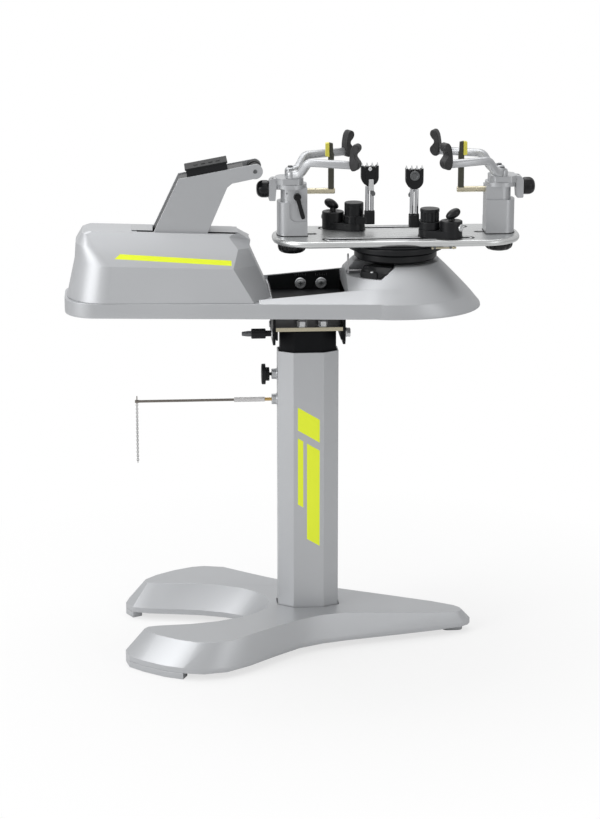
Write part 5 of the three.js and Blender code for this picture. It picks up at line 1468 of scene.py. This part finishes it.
def chain_link(middle, turned_round):
    """Rings of wire round a stadium-shaped middle line; every second link is turned a quarter."""
    straight = LINK_HALF - BEND - WIRE
    spine = stadium((0, -straight), (0, straight), BEND, 6)
    rings = []
    for i, (u, v) in enumerate(spine):
        run = Vector(spine[(i + 1) % len(spine)]) - Vector(spine[i - 1])
        out = run.normalized().orthogonal()
        ring = []
        for a in circle(8):
            across, aside = u + out.x * WIRE * math.cos(a), WIRE * math.sin(a)
            x, y = (-aside, across) if turned_round else (across, aside)
            ring.append((CHAIN_X + x, y, middle + v + out.y * WIRE * math.cos(a)))
        rings.append(ring)
    return rings


def build_chain():
    draft = Draft()
    for k in range(LINKS):
        draft.tube(chain_link(CHAIN_TOP - LINK_HALF - k * LINK_PITCH, k % 2))
    return piece("reel_chain_links", draft, [chain_steel], "chain", ["reel_chain"], edge=0)


build_chain()
print(LINKS, "chain links")
# %% [markdown]
# ## The studio
# A catalogue picture stands on seamless white with soft light from all round. The floor takes the machine's
# shadow but fades to pure white a little way off, so that no horizon shows. World light does most of the
# work, and three large lamps give the paint its soft gradients.

# %% Floor
FLOOR_REACH = 14.0
FADE_START, FADE_END = 0.45, 1.1
NEAR_WHITE = 0.7
floor_mesh = bpy.data.meshes.new("studio_floor")
floor_mesh.from_pydata([(x * FLOOR_REACH, y * FLOOR_REACH, 0) for x, y in ((-1, -1), (1, -1), (1, 1), (-1, 1))],
                       [], [(0, 1, 2, 3)])
floor = bpy.data.objects.new("studio_floor", floor_mesh)
floor.location.z = -0.0005
bpy.context.scene.collection.objects.link(floor)
sweep = Finish("seamless_floor", Base_Color=(0.86, 0.86, 0.86, 1.0), Roughness=0.9, Specular_IOR_Level=0.1)
far = sweep.node("ShaderNodeVectorMath", {"operation": "LENGTH"}, {0: sweep.place()}, output="Value")
seen = sweep.node("ShaderNodeLightPath", output="Is Camera Ray")
white = sweep.node("ShaderNodeEmission", {}, {"Color": (1.0, 1.0, 1.0), "Strength": 1.0})
share = seen * (far.between(FADE_START, FADE_END) * (1.0 - NEAR_WHITE) + NEAR_WHITE)
blend = sweep.node("ShaderNodeMixShader", {}, {0: share, 1: Field(sweep, sweep.shader.outputs[0]), 2: white})
output = next(n for n in sweep.tree.nodes if n.type == "OUTPUT_MATERIAL")
sweep.feed(output.inputs["Surface"], blend)
floor_mesh.materials.append(sweep.material)
print("floor", 2 * FLOOR_REACH, "m wide")

# %% [markdown]
# The world is plain white to the camera and dimmer as a light, so that the background stays pure and the paint
# isn't washed out. What shines sees it a little darker than the camera does.

# %% World
WORLD_LIGHT = 0.47
WORLD_MIRRORED = 0.74
world = bpy.data.worlds.new("white_studio")
bpy.context.scene.world = world
world.use_nodes = True
sky = world.node_tree
background = next(n for n in sky.nodes if n.type == "BACKGROUND")
rays = sky.nodes.new("ShaderNodeLightPath")


def sky_node(operation, first, second):
    made = sky.nodes.new("ShaderNodeMath")
    made.operation = operation
    for socket, value in zip(made.inputs, (first, second)):
        if isinstance(value, (int, float)):
            socket.default_value = value
        else:
            sky.links.new(value, socket)
    return made.outputs[0]


direct = sky_node("MAXIMUM", rays.outputs["Is Camera Ray"], rays.outputs["Is Transmission Ray"])
mirrored = sky_node("MULTIPLY", rays.outputs["Is Glossy Ray"], WORLD_MIRRORED)
strength = sky_node("MAXIMUM", sky_node("MAXIMUM", direct, mirrored), WORLD_LIGHT)
sky.links.new(strength, background.inputs["Strength"])
background.inputs["Color"].default_value = (1.0, 1.0, 1.0, 1.0)
print("world light", WORLD_LIGHT)


# %% Lamps
def soft_lamp(name, place, target, size, power):
    lamp = bpy.data.lights.new(name, "AREA")
    lamp.shape = "RECTANGLE"
    lamp.size, lamp.size_y = size
    lamp.energy = power
    box = bpy.data.objects.new(name, lamp)
    box.location = place
    box.rotation_mode = "QUATERNION"
    box.rotation_quaternion = (Vector(target) - Vector(place)).to_track_quat("-Z", "Y")
    bpy.context.scene.collection.objects.link(box)
    return box


soft_lamp("key_box", (-3.0, -1.6, 1.8), (0.0, 0.0, 0.7), (1.9, 2.2), 60.0)
soft_lamp("fill_box", (2.2, -2.6, 1.3), (0.0, 0.0, 0.6), (1.4, 1.8), 12.0)
soft_lamp("top_box", (-0.3, 0.6, 3.0), (0.0, 0.1, 0.8), (3.2, 2.6), 54.0)
print("three soft lamps")
